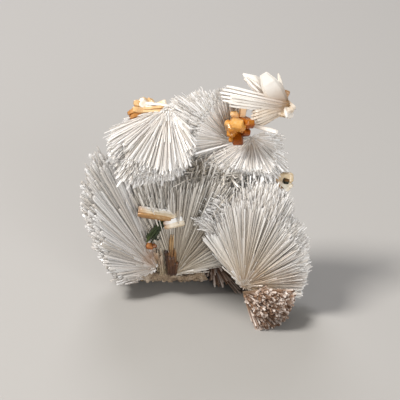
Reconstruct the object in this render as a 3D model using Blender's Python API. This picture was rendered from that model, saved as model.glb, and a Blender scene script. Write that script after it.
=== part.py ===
"""Scolecite with stilbite: sprays of white needles with honey and cream stilbite crystals, on a thin crust.

Lengths are in millimetres until the meshes are written in metres. X runs to the right, Y away from the
front and Z up from the table. Each spray is grown from its focus, the point its needles fan out from.
"""

import math
import random

import bmesh
import bpy
from mathutils import Matrix, Vector, geometry, noise

MM = 0.001
MIDDLE_ON_TABLE = Vector((0.905, 3.832, 0.0))  # the point of the table under the middle of the specimen
TOUCH_GAP = 0.3  # clearance left where two pieces touch
BUNDLE_SPACING = 3.9  # distance between neighbouring needle bundles at the dome of a spray
BACK_SPACING = 5.8  # the same on the even domes of the back
HEART_SHARE = 0.72  # how far the solid heart of a spray reaches, as a share of its needles
HEART_UNEVENNESS = 0.06  # how much that share varies
BUNDLE_LENGTHS = (0.88, 1.05)  # the shortest and the longest bundles, as shares of the marked length
ROOT_DEPTH = 1.2  # how far the root of a spray lies behind its focus
SPOT_JITTER = 0.2  # how far a bundle strays from its place in the even layout, as a share of the spacing
RIM_MARGIN = 0.45  # how far the bundles keep from the rim, as a share of the spacing
RIM_SPACING = 0.62  # the distance between neighbouring points of the rim, as a share of the spacing
RIM_BULGE = 0.06  # how far a spray's rim swells between two marked tips, as a share of their distance
EVENNESS = 0.004  # how far one tip's length is smoothed into the next, in radians squared
RINGS = ((0.5, 6), (1.0, 12))  # the rings of an even dome: a share of its spread, and the tips in the ring
SAME_SPOT = 1e-9  # two directions this close are one
SAME_POINT = 1e-6  # two points of a flat layout this close are one

CRUST_CENTRE = Vector((-5.0, 12.0, 4.0))
CRUST_RADII = Vector((21.0, 14.0, 11.0))
CRUST_UNDERSIDE = ((-5.0, 13.3, 0.0), (0.0, -0.41, -0.91))  # the broken face that rises towards the front
CRUST_LUMPS = ((0.22, 2.6), (0.10, 6.5))  # the height of the lumps, as a share, and how many there are

# A crystal's cross sections: the place along it, then its width and its thickness as shares of the widest.
CRYSTAL_SECTIONS = ((0.0, 0.80, 0.85), (0.74, 1.0, 1.0))
BEVEL_SHARE = 0.62  # the width of a crystal's broad face, as a share of its whole width
TIP_THICKNESS = 0.35  # how thick the tip is, as a share of the crystal's thickness

# Each finish: its colour and its roughness.
FINISHES = {
    "scolecite": ((0.80, 0.78, 0.76, 1.0), 0.30),
    "stained_scolecite": ((0.52, 0.42, 0.35, 1.0), 0.45),
    "crust": ((0.42, 0.36, 0.30, 1.0), 0.80),
    "pearly_stilbite": ((0.86, 0.82, 0.77, 1.0), 0.30),
    "honey_stilbite": ((0.72, 0.40, 0.12, 1.0), 0.22),
    "cream_stilbite": ((0.78, 0.66, 0.46, 1.0), 0.35),
    "celadonite": ((0.07, 0.10, 0.04, 1.0), 0.60),
    "iron_stain": ((0.36, 0.16, 0.04, 1.0), 0.55),
}

# Each spray: its focus, the points that its outermost needles reach, and its material. A spray that only the
# back shows is an even dome instead: the way it faces, how far it opens in degrees, and how far it reaches.
SPRAYS = {
    "left_spray": {
        "focus": (-11.5, 3.0, 9.1),
        "tips": [
            (-30.2, 2.9, 49.2), (-34.6, 0.0, 40.4), (-33.2, 0.0, 29.9), (-31.2, 1.0, 23.0),
            (-28.8, 2.0, 17.3), (-27.0, 3.0, 12.5), (-25.8, 4.0, 8.6), (-17.8, 6.6, 45.3),
            (-29.4, 1.6, 39.6), (-31.1, -0.5, 30.2), (-28.3, -1.0, 20.5), (-25.8, -1.3, 13.3),
            (-20.5, -0.7, 5.6), (-21.1, 5.2, 43.8), (-13.9, 5.8, 31.9), (-28.6, 14.0, 38.7),
            (-32.0, 15.0, 26.5), (-29.2, 16.0, 13.1), (-21.1, 14.0, 40.0), (-22.0, 5.5, 47.8),
            (-24.0, 12.0, 6.0),
        ],
        "material": "scolecite",
    },
    "upper_left_spray": {
        "focus": (-7.5, 4.0, 61.5),
        "tips": [
            (-20.3, 6.0, 54.0), (-22.6, 3.0, 50.0), (-25.0, 0.0, 46.4), (-21.8, -4.0, 39.2),
            (-16.5, -10.0, 42.8), (-12.0, -14.0, 46.4), (-7.3, -15.0, 46.9), (-3.9, -12.0, 46.8),
            (-1.0, -6.0, 48.7), (-1.0, 0.0, 56.5), (-19.0, -10.5, 53.8), (-16.0, -14.7, 49.3),
            (-20.0, 12.0, 49.5), (-19.4, 5.0, 57.5), (-11.0, 0.0, 41.0), (-14.0, 17.0, 51.0),
            (-6.0, 18.0, 53.0), (-2.0, 14.0, 51.0), (-12.0, 10.0, 44.0),
        ],
        "material": "scolecite",
    },
    "upper_middle_spray": {
        "focus": (11.5, 7.0, 49.5),
        "tips": [
            (-7.4, 12.5, 60.7), (-2.6, 12.0, 61.8), (1.1, 9.0, 61.0), (5.5, 9.0, 64.2),
            (8.5, 8.0, 66.0), (10.5, 6.8, 61.2), (-4.0, 6.0, 54.1), (-1.4, 2.0, 49.5),
            (3.1, 3.8, 57.3), (2.0, 3.3, 51.7), (6.7, 5.3, 61.5), (3.5, 18.0, 56.7),
            (-2.1, 18.0, 50.2), (8.6, 18.0, 59.4), (-3.0, 6.0, 45.5), (3.0, 3.6, 44.1),
            (15.0, 18.0, 57.0), (16.0, 9.0, 62.0), (1.0, 2.8, 44.2), (7.0, 5.1, 45.3),
        ],
        "material": "scolecite",
    },
    "centre_spray": {
        "focus": (-5.8, 2.0, 7.5),
        "tips": [
            (-16.2, 6.0, 43.5), (-12.5, 9.0, 52.0), (-6.7, 10.0, 54.0), (0.3, 8.0, 49.4),
            (6.7, -1.0, 44.1), (10.0, -1.0, 44.4), (14.2, -1.0, 41.8), (13.4, -1.0, 28.7),
            (13.0, 0.3, 16.5), (-7.0, -0.6, 33.5), (-1.0, -1.5, 39.7), (-12.7, -0.3, 32.4),
            (6.0, 1.3, 9.6), (-14.0, 3.0, 24.0),
        ],
        "material": "scolecite",
    },
    "right_spray": {
        "focus": (17.5, 7.0, 50.5),
        "tips": [
            (-2.3, 8.0, 43.7), (-1.1, 8.0, 40.0), (4.0, 8.0, 37.5), (11.0, 6.0, 34.5),
            (18.4, 4.0, 34.5), (24.4, 4.0, 35.0), (29.9, 5.0, 39.4), (27.0, 12.0, 40.0),
            (22.0, 17.0, 42.0), (8.3, -3.7, 43.0), (19.7, -3.5, 42.8), (25.0, 4.0, 44.8),
            (4.0, -2.7, 43.9), (12.0, 19.0, 43.0), (2.0, 16.0, 44.0), (23.2, 7.5, 51.5),
            (20.6, 7.9, 52.5), (22.2, 6.0, 47.4), (23.6, 8.0, 48.0),
        ],
        "material": "scolecite",
    },
    "lower_right_spray": {
        "focus": (15.0, -7.5, 8.0),
        "tips": [
            (13.8, -2.0, 42.5), (18.6, -2.0, 42.5), (23.8, -2.0, 41.5), (27.0, -2.0, 36.8),
            (28.0, -3.0, 30.0), (33.6, -5.0, 23.8), (34.4, -7.0, 19.2), (34.5, -8.0, 13.2),
            (32.6, -10.0, 8.7), (8.5, -6.0, 36.1), (2.8, -6.3, 23.4), (5.5, -7.0, 26.6),
            (8.7, -7.7, 29.8), (12.2, -8.5, 32.8), (16.9, -9.5, 36.5), (21.9, -10.4, 36.2),
            (26.6, -10.9, 31.0), (30.5, -11.1, 24.3), (32.6, -11.1, 17.8), (31.5, -10.5, 10.3),
            (26.3, -9.3, 4.1), (31.0, -9.9, 2.6), (6.0, 0.0, 27.0), (12.0, 7.0, 36.0),
            (22.0, 9.0, 36.0), (28.0, 9.0, 27.0), (32.0, 8.0, 17.0), (29.0, 7.0, 9.0),
        ],
        "material": "scolecite",
    },
    "foot_spray": {
        "focus": (17.8, -13.0, 5.4),
        "tips": [
            (21.8, -22.0, -0.6), (26.1, -17.0, -0.8), (28.6, -14.0, -0.2), (29.0, -11.0, 4.7),
            (27.9, -17.2, 13.8), (20.1, -20.6, 15.5), (15.0, -16.8, 10.0), (19.2, -20.0, 3.0),
            (31.0, -14.0, 10.0), (20.0, -9.0, 1.0), (18.0, -15.0, -0.6),
        ],
        "material": "stained_scolecite",
    },
    "back_left_spray": {
        "focus": (-5.0, 10.5, 28.0),
        "dome": ((-0.30, 0.92, 0.10), 88.0, 19.0),
        "material": "scolecite",
    },
    "back_right_spray": {
        "focus": (12.0, 7.0, 24.0),
        "dome": ((0.30, 0.95, -0.05), 88.0, 17.0),
        "material": "scolecite",
    },
    "back_foot_spray": {
        "focus": (6.0, 9.0, 9.0),
        "dome": ((0.40, 0.90, -0.10), 88.0, 18.5),
        "material": "stained_scolecite",
    },
}

# The crystals set in the sprays. Each runs from its root to its tip, with its width and its thickness, the
# way that its broad face looks, and the width of its tip as a share.
CRYSTALS = {
    "pearly_stilbite_fan": {
        "material": "pearly_stilbite",
        "set_in": ["upper_middle_spray", "right_spray"],
        "crystals": [
            ((26.4, 6.0, 61.0), (20.3, 5.0, 72.2), 6.2, 1.8, (0.1, -1.0, 0.2), 0.40),
            ((26.8, 7.0, 61.0), (23.7, 6.6, 68.4), 4.6, 1.6, (0.3, -1.0, 0.3), 0.45),
            ((26.4, 7.0, 62.0), (28.0, 7.6, 65.4), 2.0, 1.6, (0.2, -1.0, 0.2), 0.70),
            ((17.0, 1.4, 57.0), (25.0, 0.6, 54.8), 1.4, 1.2, (0.0, -1.0, 0.3), 0.80),
            ((25.0, 8.0, 62.5), (14.4, 9.0, 70.4), 5.2, 1.6, (0.4, -1.0, 0.1), 0.10),
            ((24.0, 7.0, 62.0), (14.9, 8.0, 69.6), 3.4, 1.3, (-0.6, -0.7, -0.4), 0.10),
            ((28.2, 6.5, 61.5), (7.6, 3.0, 67.7), 2.4, 1.7, (0.0, -0.8, 0.6), 0.55),
            ((28.0, 5.0, 61.3), (6.6, 1.0, 66.9), 3.0, 1.8, (0.1, -0.9, 0.4), 0.60),
            ((27.6, 4.5, 60.8), (9.4, 0.2, 65.2), 3.0, 1.6, (0.0, -1.0, 0.2), 0.60),
            ((28.4, 5.5, 61.8), (16.4, 0.4, 59.4), 3.2, 1.6, (0.1, -1.0, 0.3), 0.55),
            ((28.2, 5.0, 61.2), (17.7, 1.2, 57.4), 3.0, 1.6, (0.2, -1.0, 0.0), 0.55),
            ((27.0, 6.0, 62.0), (29.6, 4.0, 60.0), 3.2, 1.6, (0.6, -0.8, 0.2), 0.60),
            ((27.2, 6.0, 62.0), (28.6, 3.0, 58.1), 3.4, 1.5, (0.7, -0.7, 0.0), 0.70),
            ((26.8, 6.0, 62.0), (26.0, 3.2, 58.4), 3.0, 1.5, (0.2, -1.0, 0.2), 0.60),
            ((26.6, 5.4, 59.6), (19.8, 3.2, 56.4), 1.8, 1.4, (0.0, -1.0, 0.3), 0.60),
            ((27.0, 6.5, 61.0), (25.5, 15.5, 67.5), 5.0, 1.7, (1.0, 0.3, 0.4), 0.45),
            ((27.0, 7.0, 61.5), (17.5, 15.0, 66.0), 4.6, 1.6, (0.4, 0.6, 0.7), 0.40),
            ((26.0, 6.5, 61.5), (27.6, 13.5, 61.0), 4.2, 1.6, (1.0, -0.3, 0.3), 0.50),
            ((26.8, 5.6, 60.6), (17.4, 2.2, 60.6), 3.2, 1.8, (0.0, -1.0, 0.2), 0.60),
        ],
    },
    "honey_stilbite_cluster": {
        "material": "honey_stilbite",
        "set_in": ["upper_middle_spray", "right_spray", "pearly_stilbite_fan"],
        "crystals": [
            ((13.2, 7.6, 56.3), (12.6, -3.6, 58.5), 5.6, 5.2, (0.2, 0.1, 1.0), 0.70),
            ((10.9, 2.6, 54.8), (10.4, -1.2, 59.1), 2.6, 2.4, (-0.5, -1.0, 0.1), 0.60),
            ((14.0, 4.6, 56.8), (10.4, -1.6, 54.7), 2.8, 2.4, (-0.3, -0.3, 1.0), 0.60),
            ((14.2, 3.6, 56.8), (14.9, 1.8, 63.9), 2.3, 1.6, (0.1, -1.0, 0.0), 0.85),
            ((13.0, 3.6, 56.8), (11.8, 1.2, 60.9), 2.6, 1.8, (-0.2, -1.0, 0.2), 0.70),
            ((13.5, 4.1, 57.3), (17.2, -1.2, 57.5), 3.8, 3.4, (0.2, 0.0, 1.0), 0.60),
            ((13.5, 4.1, 56.3), (16.2, -0.6, 54.3), 3.0, 2.6, (0.4, -0.2, 1.0), 0.55),
            ((13.0, 4.1, 56.3), (13.2, -0.8, 51.1), 3.4, 2.8, (0.0, -1.0, 0.0), 0.80),
            ((13.0, 4.1, 55.3), (11.2, -0.2, 52.1), 2.4, 2.0, (-0.3, -1.0, 0.0), 0.70),
        ],
    },
    "crest_stilbite_cluster": {
        "material": "cream_stilbite",
        "set_in": ["upper_left_spray"],
        "crystals": [
            ((-11.5, 6.0, 60.0), (-18.4, 4.0, 62.0), 3.6, 2.8, (0.0, -0.9, 0.5), 0.60),
            ((-12.5, 6.0, 59.8), (-16.2, 5.0, 63.2), 3.2, 2.4, (0.2, -1.0, 0.3), 0.55),
            ((-13.0, 6.0, 59.5), (-19.6, 3.0, 59.0), 2.8, 2.6, (0.0, -0.7, 0.7), 0.60),
            ((-12.0, 6.5, 59.8), (-13.4, 5.4, 62.6), 3.0, 2.2, (0.0, -1.0, 0.3), 0.60),
            ((-7.0, 5.0, 61.2), (-14.6, 4.6, 62.0), 1.5, 2.4, (0.0, -1.0, 0.4), 0.50),
            ((-12.0, 6.2, 60.6), (-7.8, 6.2, 62.2), 2.2, 1.8, (0.0, -1.0, 0.2), 0.80),
            ((-15.5, 4.4, 60.2), (-8.4, 3.2, 61.2), 1.8, 1.8, (0.0, -0.8, 0.6), 0.50),
            ((-12.0, 7.0, 60.0), (-14.5, 12.5, 61.0), 3.2, 2.2, (0.3, 0.4, 0.9), 0.50),
        ],
    },
    "cream_stilbite_blades": {
        "material": "cream_stilbite",
        "set_in": ["centre_spray", "left_spray", "upper_left_spray"],
        "crystals": [
            ((-5.4, -2.3, 28.7), (-16.6, -1.9, 30.3), 3.2, 2.6, (0.0, -0.6, 0.8), 0.60),
            ((-8.8, -2.7, 25.9), (-2.6, -2.1, 27.5), 2.8, 2.2, (0.2, -0.8, 0.6), 0.80),
            ((-6.6, -1.7, 27.7), (-3.6, -1.3, 30.5), 2.4, 2.0, (0.2, -1.0, 0.2), 0.70),
            ((-9.6, 4.8, 27.1), (-9.4, -2.1, 27.7), 2.6, 2.2, (0.0, 0.0, 1.0), 0.70),
        ],
    },
    "celadonite_stem": {
        "material": "celadonite",
        "set_in": ["centre_spray", "left_spray", "cream_stilbite_blades"],
        "crystals": [
            ((-9.0, -1.9, 27.1), (-14.4, 1.3, 18.5), 2.4, 2.0, (-0.4, -1.0, 0.0), 0.50),
            ((-13.6, 5.8, 19.2), (-13.4, 0.9, 20.5), 2.0, 1.8, (0.0, 0.0, 1.0), 0.60),
            ((-8.8, 3.3, 22.3), (-11.2, -0.1, 20.1), 1.8, 1.2, (-0.2, -1.0, 0.3), 0.50),
            ((-12.8, 2.3, 20.7), (-10.8, 0.7, 20.3), 1.8, 1.4, (0.0, -1.0, 0.2), 0.60),
        ],
    },
    "iron_stained_knob": {
        "material": "iron_stain",
        "set_in": ["centre_spray", "left_spray", "celadonite_stem"],
        "crystals": [
            ((-13.0, 6.7, 16.5), (-13.4, 0.9, 16.9), 2.6, 2.2, (0.1, 0.0, 1.0), 0.70),
            ((-12.6, 6.2, 16.3), (-11.8, 0.9, 17.5), 1.8, 1.6, (-0.1, 0.1, 1.0), 0.60),
        ],
    },
    "iron_stained_column": {
        "material": "iron_stain",
        "set_in": ["centre_spray", "crust"],
        "crystals": [
            ((-6.9, 1.5, 7.6), (-6.8, 0.1, 17.0), 3.2, 2.6, (0.0, -1.0, 0.0), 0.50),
            ((-6.8, 1.5, 12.5), (-6.7, -2.1, 23.3), 1.6, 1.6, (0.1, -1.0, 0.0), 0.60),
            ((-6.6, 1.9, 13.0), (-8.4, -0.3, 16.6), 1.5, 1.2, (0.0, -1.0, 0.0), 0.60),
            ((-6.8, 0.7, 17.0), (-7.0, 2.9, 20.0), 1.8, 1.6, (0.0, -0.6, 1.0), 0.60),
        ],
    },
    "corner_stilbite": {
        "material": "cream_stilbite",
        "set_in": ["right_spray", "back_right_spray"],
        "crystals": [
            ((24.6, 5.0, 38.6), (30.3, 3.6, 38.9), 3.2, 2.2, (0.0, -1.0, 0.3), 0.60),
            ((25.6, 5.0, 38.4), (29.4, 3.0, 35.3), 2.8, 2.0, (0.2, -1.0, 0.1), 0.60),
            ((25.4, 5.0, 38.0), (26.8, 3.2, 35.4), 2.0, 1.6, (0.0, -1.0, 0.0), 0.60),
        ],
    },
}

# Where two growths met, they share a flat boundary: a point on it, and the way from the first to the second.
MEETINGS = [
    ("left_spray", "centre_spray", (-12.8, 0.0, 21.0), (0.967, 0.0, 0.251)),
    ("left_spray", "upper_left_spray", (-20.0, -0.5, 44.0), (0.10, -0.85, 0.50)),
    ("left_spray", "back_left_spray", (-15.0, 12.0, 25.0), (0.85, 0.50, 0.10)),
    ("centre_spray", "upper_left_spray", (-8.0, -2.0, 44.0), (-0.10, -0.70, 0.70)),
    ("upper_left_spray", "upper_middle_spray", (-3.0, 4.0, 56.0), (0.80, 0.55, -0.20)),
    ("upper_middle_spray", "right_spray", (13.5, 5.0, 49.8), (0.35, 0.0, -0.94)),
    ("centre_spray", "right_spray", (4.0, 2.0, 40.0), (0.10, 0.75, 0.65)),
    ("lower_right_spray", "right_spray", (22.0, 0.0, 40.0), (0.0, 0.60, 0.80)),
    ("centre_spray", "lower_right_spray", (9.0, -4.5, 25.0), (0.50, -0.85, 0.05)),
    ("lower_right_spray", "foot_spray", (22.0, -20.0, 12.5), (0.10, -0.60, -0.80)),
    ("centre_spray", "back_left_spray", (0.0, 8.8, 25.0), (0.0, 1.0, 0.0)),
    ("back_left_spray", "right_spray", (2.0, 11.0, 42.0), (0.30, -0.60, 0.75)),
    ("back_left_spray", "upper_middle_spray", (-2.0, 16.0, 48.5), (0.10, -0.10, 1.0)),
    ("back_left_spray", "back_right_spray", (4.5, 12.0, 28.0), (1.0, 0.0, 0.0)),
    ("back_right_spray", "right_spray", (20.0, 10.0, 36.0), (0.0, 0.10, 1.0)),
    ("centre_spray", "back_right_spray", (10.0, 3.0, 25.0), (0.70, 0.70, 0.0)),
    ("lower_right_spray", "back_right_spray", (20.0, 4.0, 25.0), (0.0, 1.0, 0.0)),
    ("back_foot_spray", "back_right_spray", (14.0, 14.0, 15.5), (0.0, 0.0, 1.0)),
    ("back_foot_spray", "back_left_spray", (-4.0, 18.0, 16.5), (-0.15, 0.0, 1.0)),
    ("back_foot_spray", "lower_right_spray", (16.0, 3.0, 10.0), (0.0, -1.0, 0.1)),
    ("back_foot_spray", "centre_spray", (2.0, 5.0, 11.0), (-0.45, -0.85, 0.20)),
    ("crust", "left_spray", (-5.0, 3.0, 6.9), (0.0, -0.25, 0.97)),
    ("crust", "centre_spray", (-5.0, 3.0, 6.9), (0.0, -0.25, 0.97)),
    ("crust", "back_foot_spray", (2.5, 8.0, 6.0), (0.80, 0.30, 0.50)),
    ("crust", "lower_right_spray", (12.5, -5.5, 5.0), (0.50, -0.70, 0.45)),
    ("crust", "foot_spray", (13.5, -8.0, 3.0), (0.70, -0.70, 0.0)),
    ("crust", "back_left_spray", (-8.0, 14.0, 12.0), (0.0, 0.0, 1.0)),
]


def material(name):
    """The finish of one mineral, made once and shared."""
    found = bpy.data.materials.get(name)
    if found:
        return found
    colour, roughness = FINISHES[name]
    made = bpy.data.materials.new(name)
    made.use_nodes = True
    shader = made.node_tree.nodes["Principled BSDF"]
    shader.inputs["Base Color"].default_value = colour
    shader.inputs["Roughness"].default_value = roughness
    shader.inputs["Metallic"].default_value = 0.0
    return made


def growth(name, shape, finish):
    """A bmesh in millimetres as a named object, still in millimetres."""
    bmesh.ops.recalc_face_normals(shape, faces=shape.faces)
    bmesh.ops.triangulate(shape, faces=shape.faces)
    mesh = bpy.data.meshes.new(name)
    shape.to_mesh(mesh)
    shape.free()
    mesh.materials.append(material(finish))
    made = bpy.data.objects.new(name, mesh)
    bpy.context.scene.collection.objects.link(made)
    return made


def boundaries_of(name):
    """The half spaces that a growth stays in, each as (point, unit normal pointing out of it)."""
    found = [(Vector((0.0, 0.0, 0.0)), Vector((0.0, 0.0, -1.0)))]  # the table
    if name == "crust":
        point, outward = CRUST_UNDERSIDE
        found.append((Vector(point), Vector(outward).normalized()))
    for first, second, point, toward in MEETINGS:
        normal = Vector(toward).normalized()
        back_off = normal * (TOUCH_GAP / 2)
        if name == first:
            found.append((Vector(point) - back_off, normal))
        if name == second:
            found.append((Vector(point) + back_off, -normal))
    return found


def grown(name, focus, ray, length):
    """The point at that length along a ray from the focus, held back at the growth's boundaries."""
    for point, normal in boundaries_of(name):
        room = (point - focus).dot(normal)
        if room <= 0:
            raise ValueError(f"the focus of {name} lies outside its boundary at {point}")
        rate = ray.dot(normal)
        if rate > 0:
            length = min(length, room / rate)
    return focus + ray * length


def even_tips(focus, facing, spread, reach):
    """The tips of an even dome: one straight ahead, then two rings of them out to its spread."""
    axis = Vector(facing).normalized()
    side = axis.orthogonal().normalized()
    over = axis.cross(side)
    tips = [Vector(focus) + axis * reach]
    for share, count in RINGS:
        lean = math.radians(spread) * share
        for i in range(count):
            turn = math.tau * (i + share) / count
            across = side * math.cos(turn) + over * math.sin(turn)
            tips.append(Vector(focus) + (axis * math.cos(lean) + across * math.sin(lean)) * reach)
    return tips


class Dome:
    """The directions that a spray's needles take, laid out flat round its axis, and how far they reach."""

    def __init__(self, focus, tips):
        self.focus = Vector(focus)
        rays = [Vector(tip) - self.focus for tip in tips]
        self.axis = sum((ray.normalized() for ray in rays), Vector()).normalized()
        self.side = self.axis.orthogonal().normalized()
        self.over = self.axis.cross(self.side)
        self.marks = [(self.flat(ray), ray.length) for ray in rays]

    def flat(self, ray):
        """The place of a direction in the flat layout: its angle off the axis, laid out the way it leans."""
        across = Vector((ray.dot(self.side), ray.dot(self.over)))
        if across.length < SAME_SPOT:
            return Vector((0.0, 0.0))
        return across.normalized() * self.axis.angle(ray)

    def ray(self, spot):
        """The direction that a place in the flat layout stands for."""
        turn = spot.length
        if turn < SAME_SPOT:
            return self.axis.copy()
        across = (self.side * spot.x + self.over * spot.y) / turn
        return self.axis * math.cos(turn) + across * math.sin(turn)

    def reach(self, spot):
        """How far the needles go there: the marked tips' lengths, the nearest counting most."""
        weights = [((spot - mark).length ** 2 + EVENNESS) ** -2 for mark, _ in self.marks]
        lengths = [length for _, length in self.marks]
        return sum(w * length for w, length in zip(weights, lengths)) / sum(weights)


def rim_of(dome, step):
    """Points round the edge of a dome, swollen a little so that no three lie in line."""
    spots = [mark for mark, _ in dome.marks]
    corners = [spots[i] for i in geometry.convex_hull_2d(spots)]
    rim = []
    for here, there in zip(corners, corners[1:] + corners[:1]):
        edge = there - here
        outward = Vector((edge.y, -edge.x)) * RIM_BULGE
        pieces = max(1, round(edge.length / step))
        for i in range(pieces):
            along = i / pieces
            rim.append(here + edge * along + outward * (4 * along * (1 - along)))
    if sum(a.x * b.y - a.y * b.x for a, b in zip(rim, rim[1:] + rim[:1])) < 0:
        rim.reverse()
    return rim


def inside(spot, rim, margin):
    """Whether a spot lies inside the rim, at least a margin from it."""
    for here, there in zip(rim, rim[1:] + rim[:1]):
        edge = (there - here).normalized()
        if edge.x * (spot.y - here.y) - edge.y * (spot.x - here.x) < margin:
            return False
    return True


def dome_cells(dome, spacing, dice):
    """The flat layout of a dome: its points, rim first, the triangles between them and the rim's count."""
    mean_reach = sum(length for _, length in dome.marks) / len(dome.marks)
    step = spacing / mean_reach
    jitter = SPOT_JITTER * step
    margin = RIM_MARGIN * step
    rim = rim_of(dome, step * RIM_SPACING)
    spots = list(rim)
    count = int(math.pi / step) + 2
    for row in range(-count, count + 1):
        for column in range(-count, count + 1):
            spot = Vector((column + row % 2 / 2, row * math.sqrt(3) / 2)) * step
            spot += Vector((dice.uniform(-jitter, jitter), dice.uniform(-jitter, jitter)))
            if inside(spot, rim, margin):
                spots.append(spot)
    outline = [list(range(len(rim)))]
    placed, _, cells, _, _, _ = geometry.delaunay_2d_cdt(spots, [], outline, 1, SAME_POINT)
    if len(placed) != len(spots):
        raise ValueError("two points of a dome fell together")
    return placed, [cell for cell in cells if len(cell) == 3], len(rim)


def spray(name, focus, tips, spacing, finish):
    """A fan of needle bundles: a faceted heart from the focus, with a pointed bundle on each cell."""
    dice = random.Random(name)
    dome = Dome(focus, tips)
    spots, cells, rim_count = dome_cells(dome, spacing, dice)
    shape = bmesh.new()

    def point(spot, share):
        return shape.verts.new(grown(name, dome.focus, dome.ray(spot), dome.reach(spot) * share))

    def heart():
        return HEART_SHARE + dice.uniform(-HEART_UNEVENNESS, HEART_UNEVENNESS)

    def end():
        return dice.uniform(*BUNDLE_LENGTHS)

    # The rim itself is a row of bundles: every other point of it is a tip.
    feet = [point(spot, end() if i < rim_count and i % 2 else heart()) for i, spot in enumerate(spots)]
    for cell in cells:
        middle = sum((spots[i] for i in cell), Vector((0.0, 0.0))) / 3
        top = point(middle, end())
        for here, there in zip(cell, cell[1:] + cell[:1]):
            shape.faces.new((feet[here], feet[there], top))
    root = shape.verts.new(grown(name, dome.focus, -dome.axis, ROOT_DEPTH))
    for i in range(rim_count):
        shape.faces.new((feet[i], root, feet[(i + 1) % rim_count]))
    return growth(name, shape, finish)


def crust():
    """The thin lumpy crust that the sprays grew from, and that the specimen stands on."""
    shape = bmesh.new()
    bmesh.ops.create_icosphere(shape, subdivisions=3, radius=1.0)
    for vert in shape.verts:
        ray = vert.co.normalized()
        length = (ray * CRUST_RADII).length
        lump = 1 + sum(height * noise.noise(ray * count) for height, count in CRUST_LUMPS)
        vert.co = grown("crust", CRUST_CENTRE, ray, length * lump)
    return growth("crust", shape, "crust")


def crystal(name, form, finish, grow=0.0):
    """One flat crystal: it widens from its root, runs nearly straight and narrows to its tip."""
    root, tip, width, thickness, facing, tip_width = form
    start = Vector(root)
    length = (Vector(tip) - start).length
    along = (Vector(tip) - start) / length
    flat = Vector(facing)
    flat = (flat - along * flat.dot(along)).normalized()
    across = along.cross(flat)
    shape = bmesh.new()
    for place, wide, thick in CRYSTAL_SECTIONS + ((1.0, tip_width, TIP_THICKNESS),):
        beyond = grow * (2 * place - 1)
        middle = start + along * (length * place + beyond)
        half_width = width * wide / 2 + grow
        half_thickness = thickness * thick / 2 + grow
        for turn in (-1, 1):
            shape.verts.new(middle + across * (turn * half_width))
            for face in (-1, 1):
                edge = across * (turn * half_width * BEVEL_SHARE)
                shape.verts.new(middle + edge + flat * (face * half_thickness))
    hull = bmesh.ops.convex_hull(shape, input=shape.verts)
    spare = {item for item in hull["geom_interior"] if isinstance(item, bmesh.types.BMVert)}
    bmesh.ops.delete(shape, geom=list(spare), context="VERTS")
    return growth(name, shape, finish)


def keep_largest_body(mesh):
    """Takes off the loose tips that a cut leaves beside the main body."""
    shape = bmesh.new()
    shape.from_mesh(mesh)
    left = set(shape.verts)
    bodies = []
    while left:
        body = set()
        edge = [left.pop()]
        while edge:
            vert = edge.pop()
            body.add(vert)
            for link in vert.link_edges:
                other = link.other_vert(vert)
                if other in left:
                    left.remove(other)
                    edge.append(other)
        bodies.append(body)
    bodies.sort(key=len)
    for body in bodies[:-1]:
        bmesh.ops.delete(shape, geom=list(body), context="VERTS")
    bmesh.ops.triangulate(shape, faces=shape.faces)
    shape.to_mesh(mesh)
    shape.free()


def combine(target, tools, operation):
    """Joins closed objects to a target or cuts them out of it. The tools are used up."""
    group = bpy.data.collections.new("tools")
    bpy.context.scene.collection.children.link(group)
    for tool in tools:
        tool.hide_render = True
        tool.display_type = "WIRE"
        group.objects.link(tool)
    step = target.modifiers.new(operation, "BOOLEAN")
    step.operation = operation
    step.operand_type = "COLLECTION"
    step.collection = group
    step.solver = "EXACT"
    step.use_self = True
    evaluated = target.evaluated_get(bpy.context.evaluated_depsgraph_get())
    mesh = bpy.data.meshes.new_from_object(evaluated)
    target.modifiers.remove(step)
    target.data = mesh
    for tool in tools:
        bpy.data.objects.remove(tool)
    bpy.data.collections.remove(group)
    keep_largest_body(mesh)
    return target


def crystal_group(name, forms, finish):
    """Crystals grown together, joined in one solid."""
    pieces = [crystal(name, form, finish) for form in forms]
    return combine(pieces[0], pieces[1:], "UNION")


def in_metres(thing):
    """Brings a finished mesh to metres, with its origin on the table under the middle of the specimen."""
    thing.data.transform(Matrix.Scale(MM, 4) @ Matrix.Translation(-MIDDLE_ON_TABLE))


def main():
    for thing in list(bpy.data.objects):
        bpy.data.objects.remove(thing)
    growths = {"crust": crust()}
    for name, form in SPRAYS.items():
        focus = form["focus"]
        if "tips" in form:
            growths[name] = spray(name, focus, form["tips"], BUNDLE_SPACING, form["material"])
        else:
            tips = even_tips(focus, *form["dome"])
            growths[name] = spray(name, focus, tips, BACK_SPACING, form["material"])
    for name, group in CRYSTALS.items():
        for bed in group["set_in"]:
            room = [crystal("room", form, group["material"], TOUCH_GAP) for form in group["crystals"]]
            combine(growths[bed], room, "DIFFERENCE")
        growths[name] = crystal_group(name, group["crystals"], group["material"])
    for thing in growths.values():
        in_metres(thing)


main()
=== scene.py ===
import math
import random

import bmesh
import bpy
import numpy as np
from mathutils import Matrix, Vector, noise
from mathutils.bvhtree import BVHTree


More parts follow.
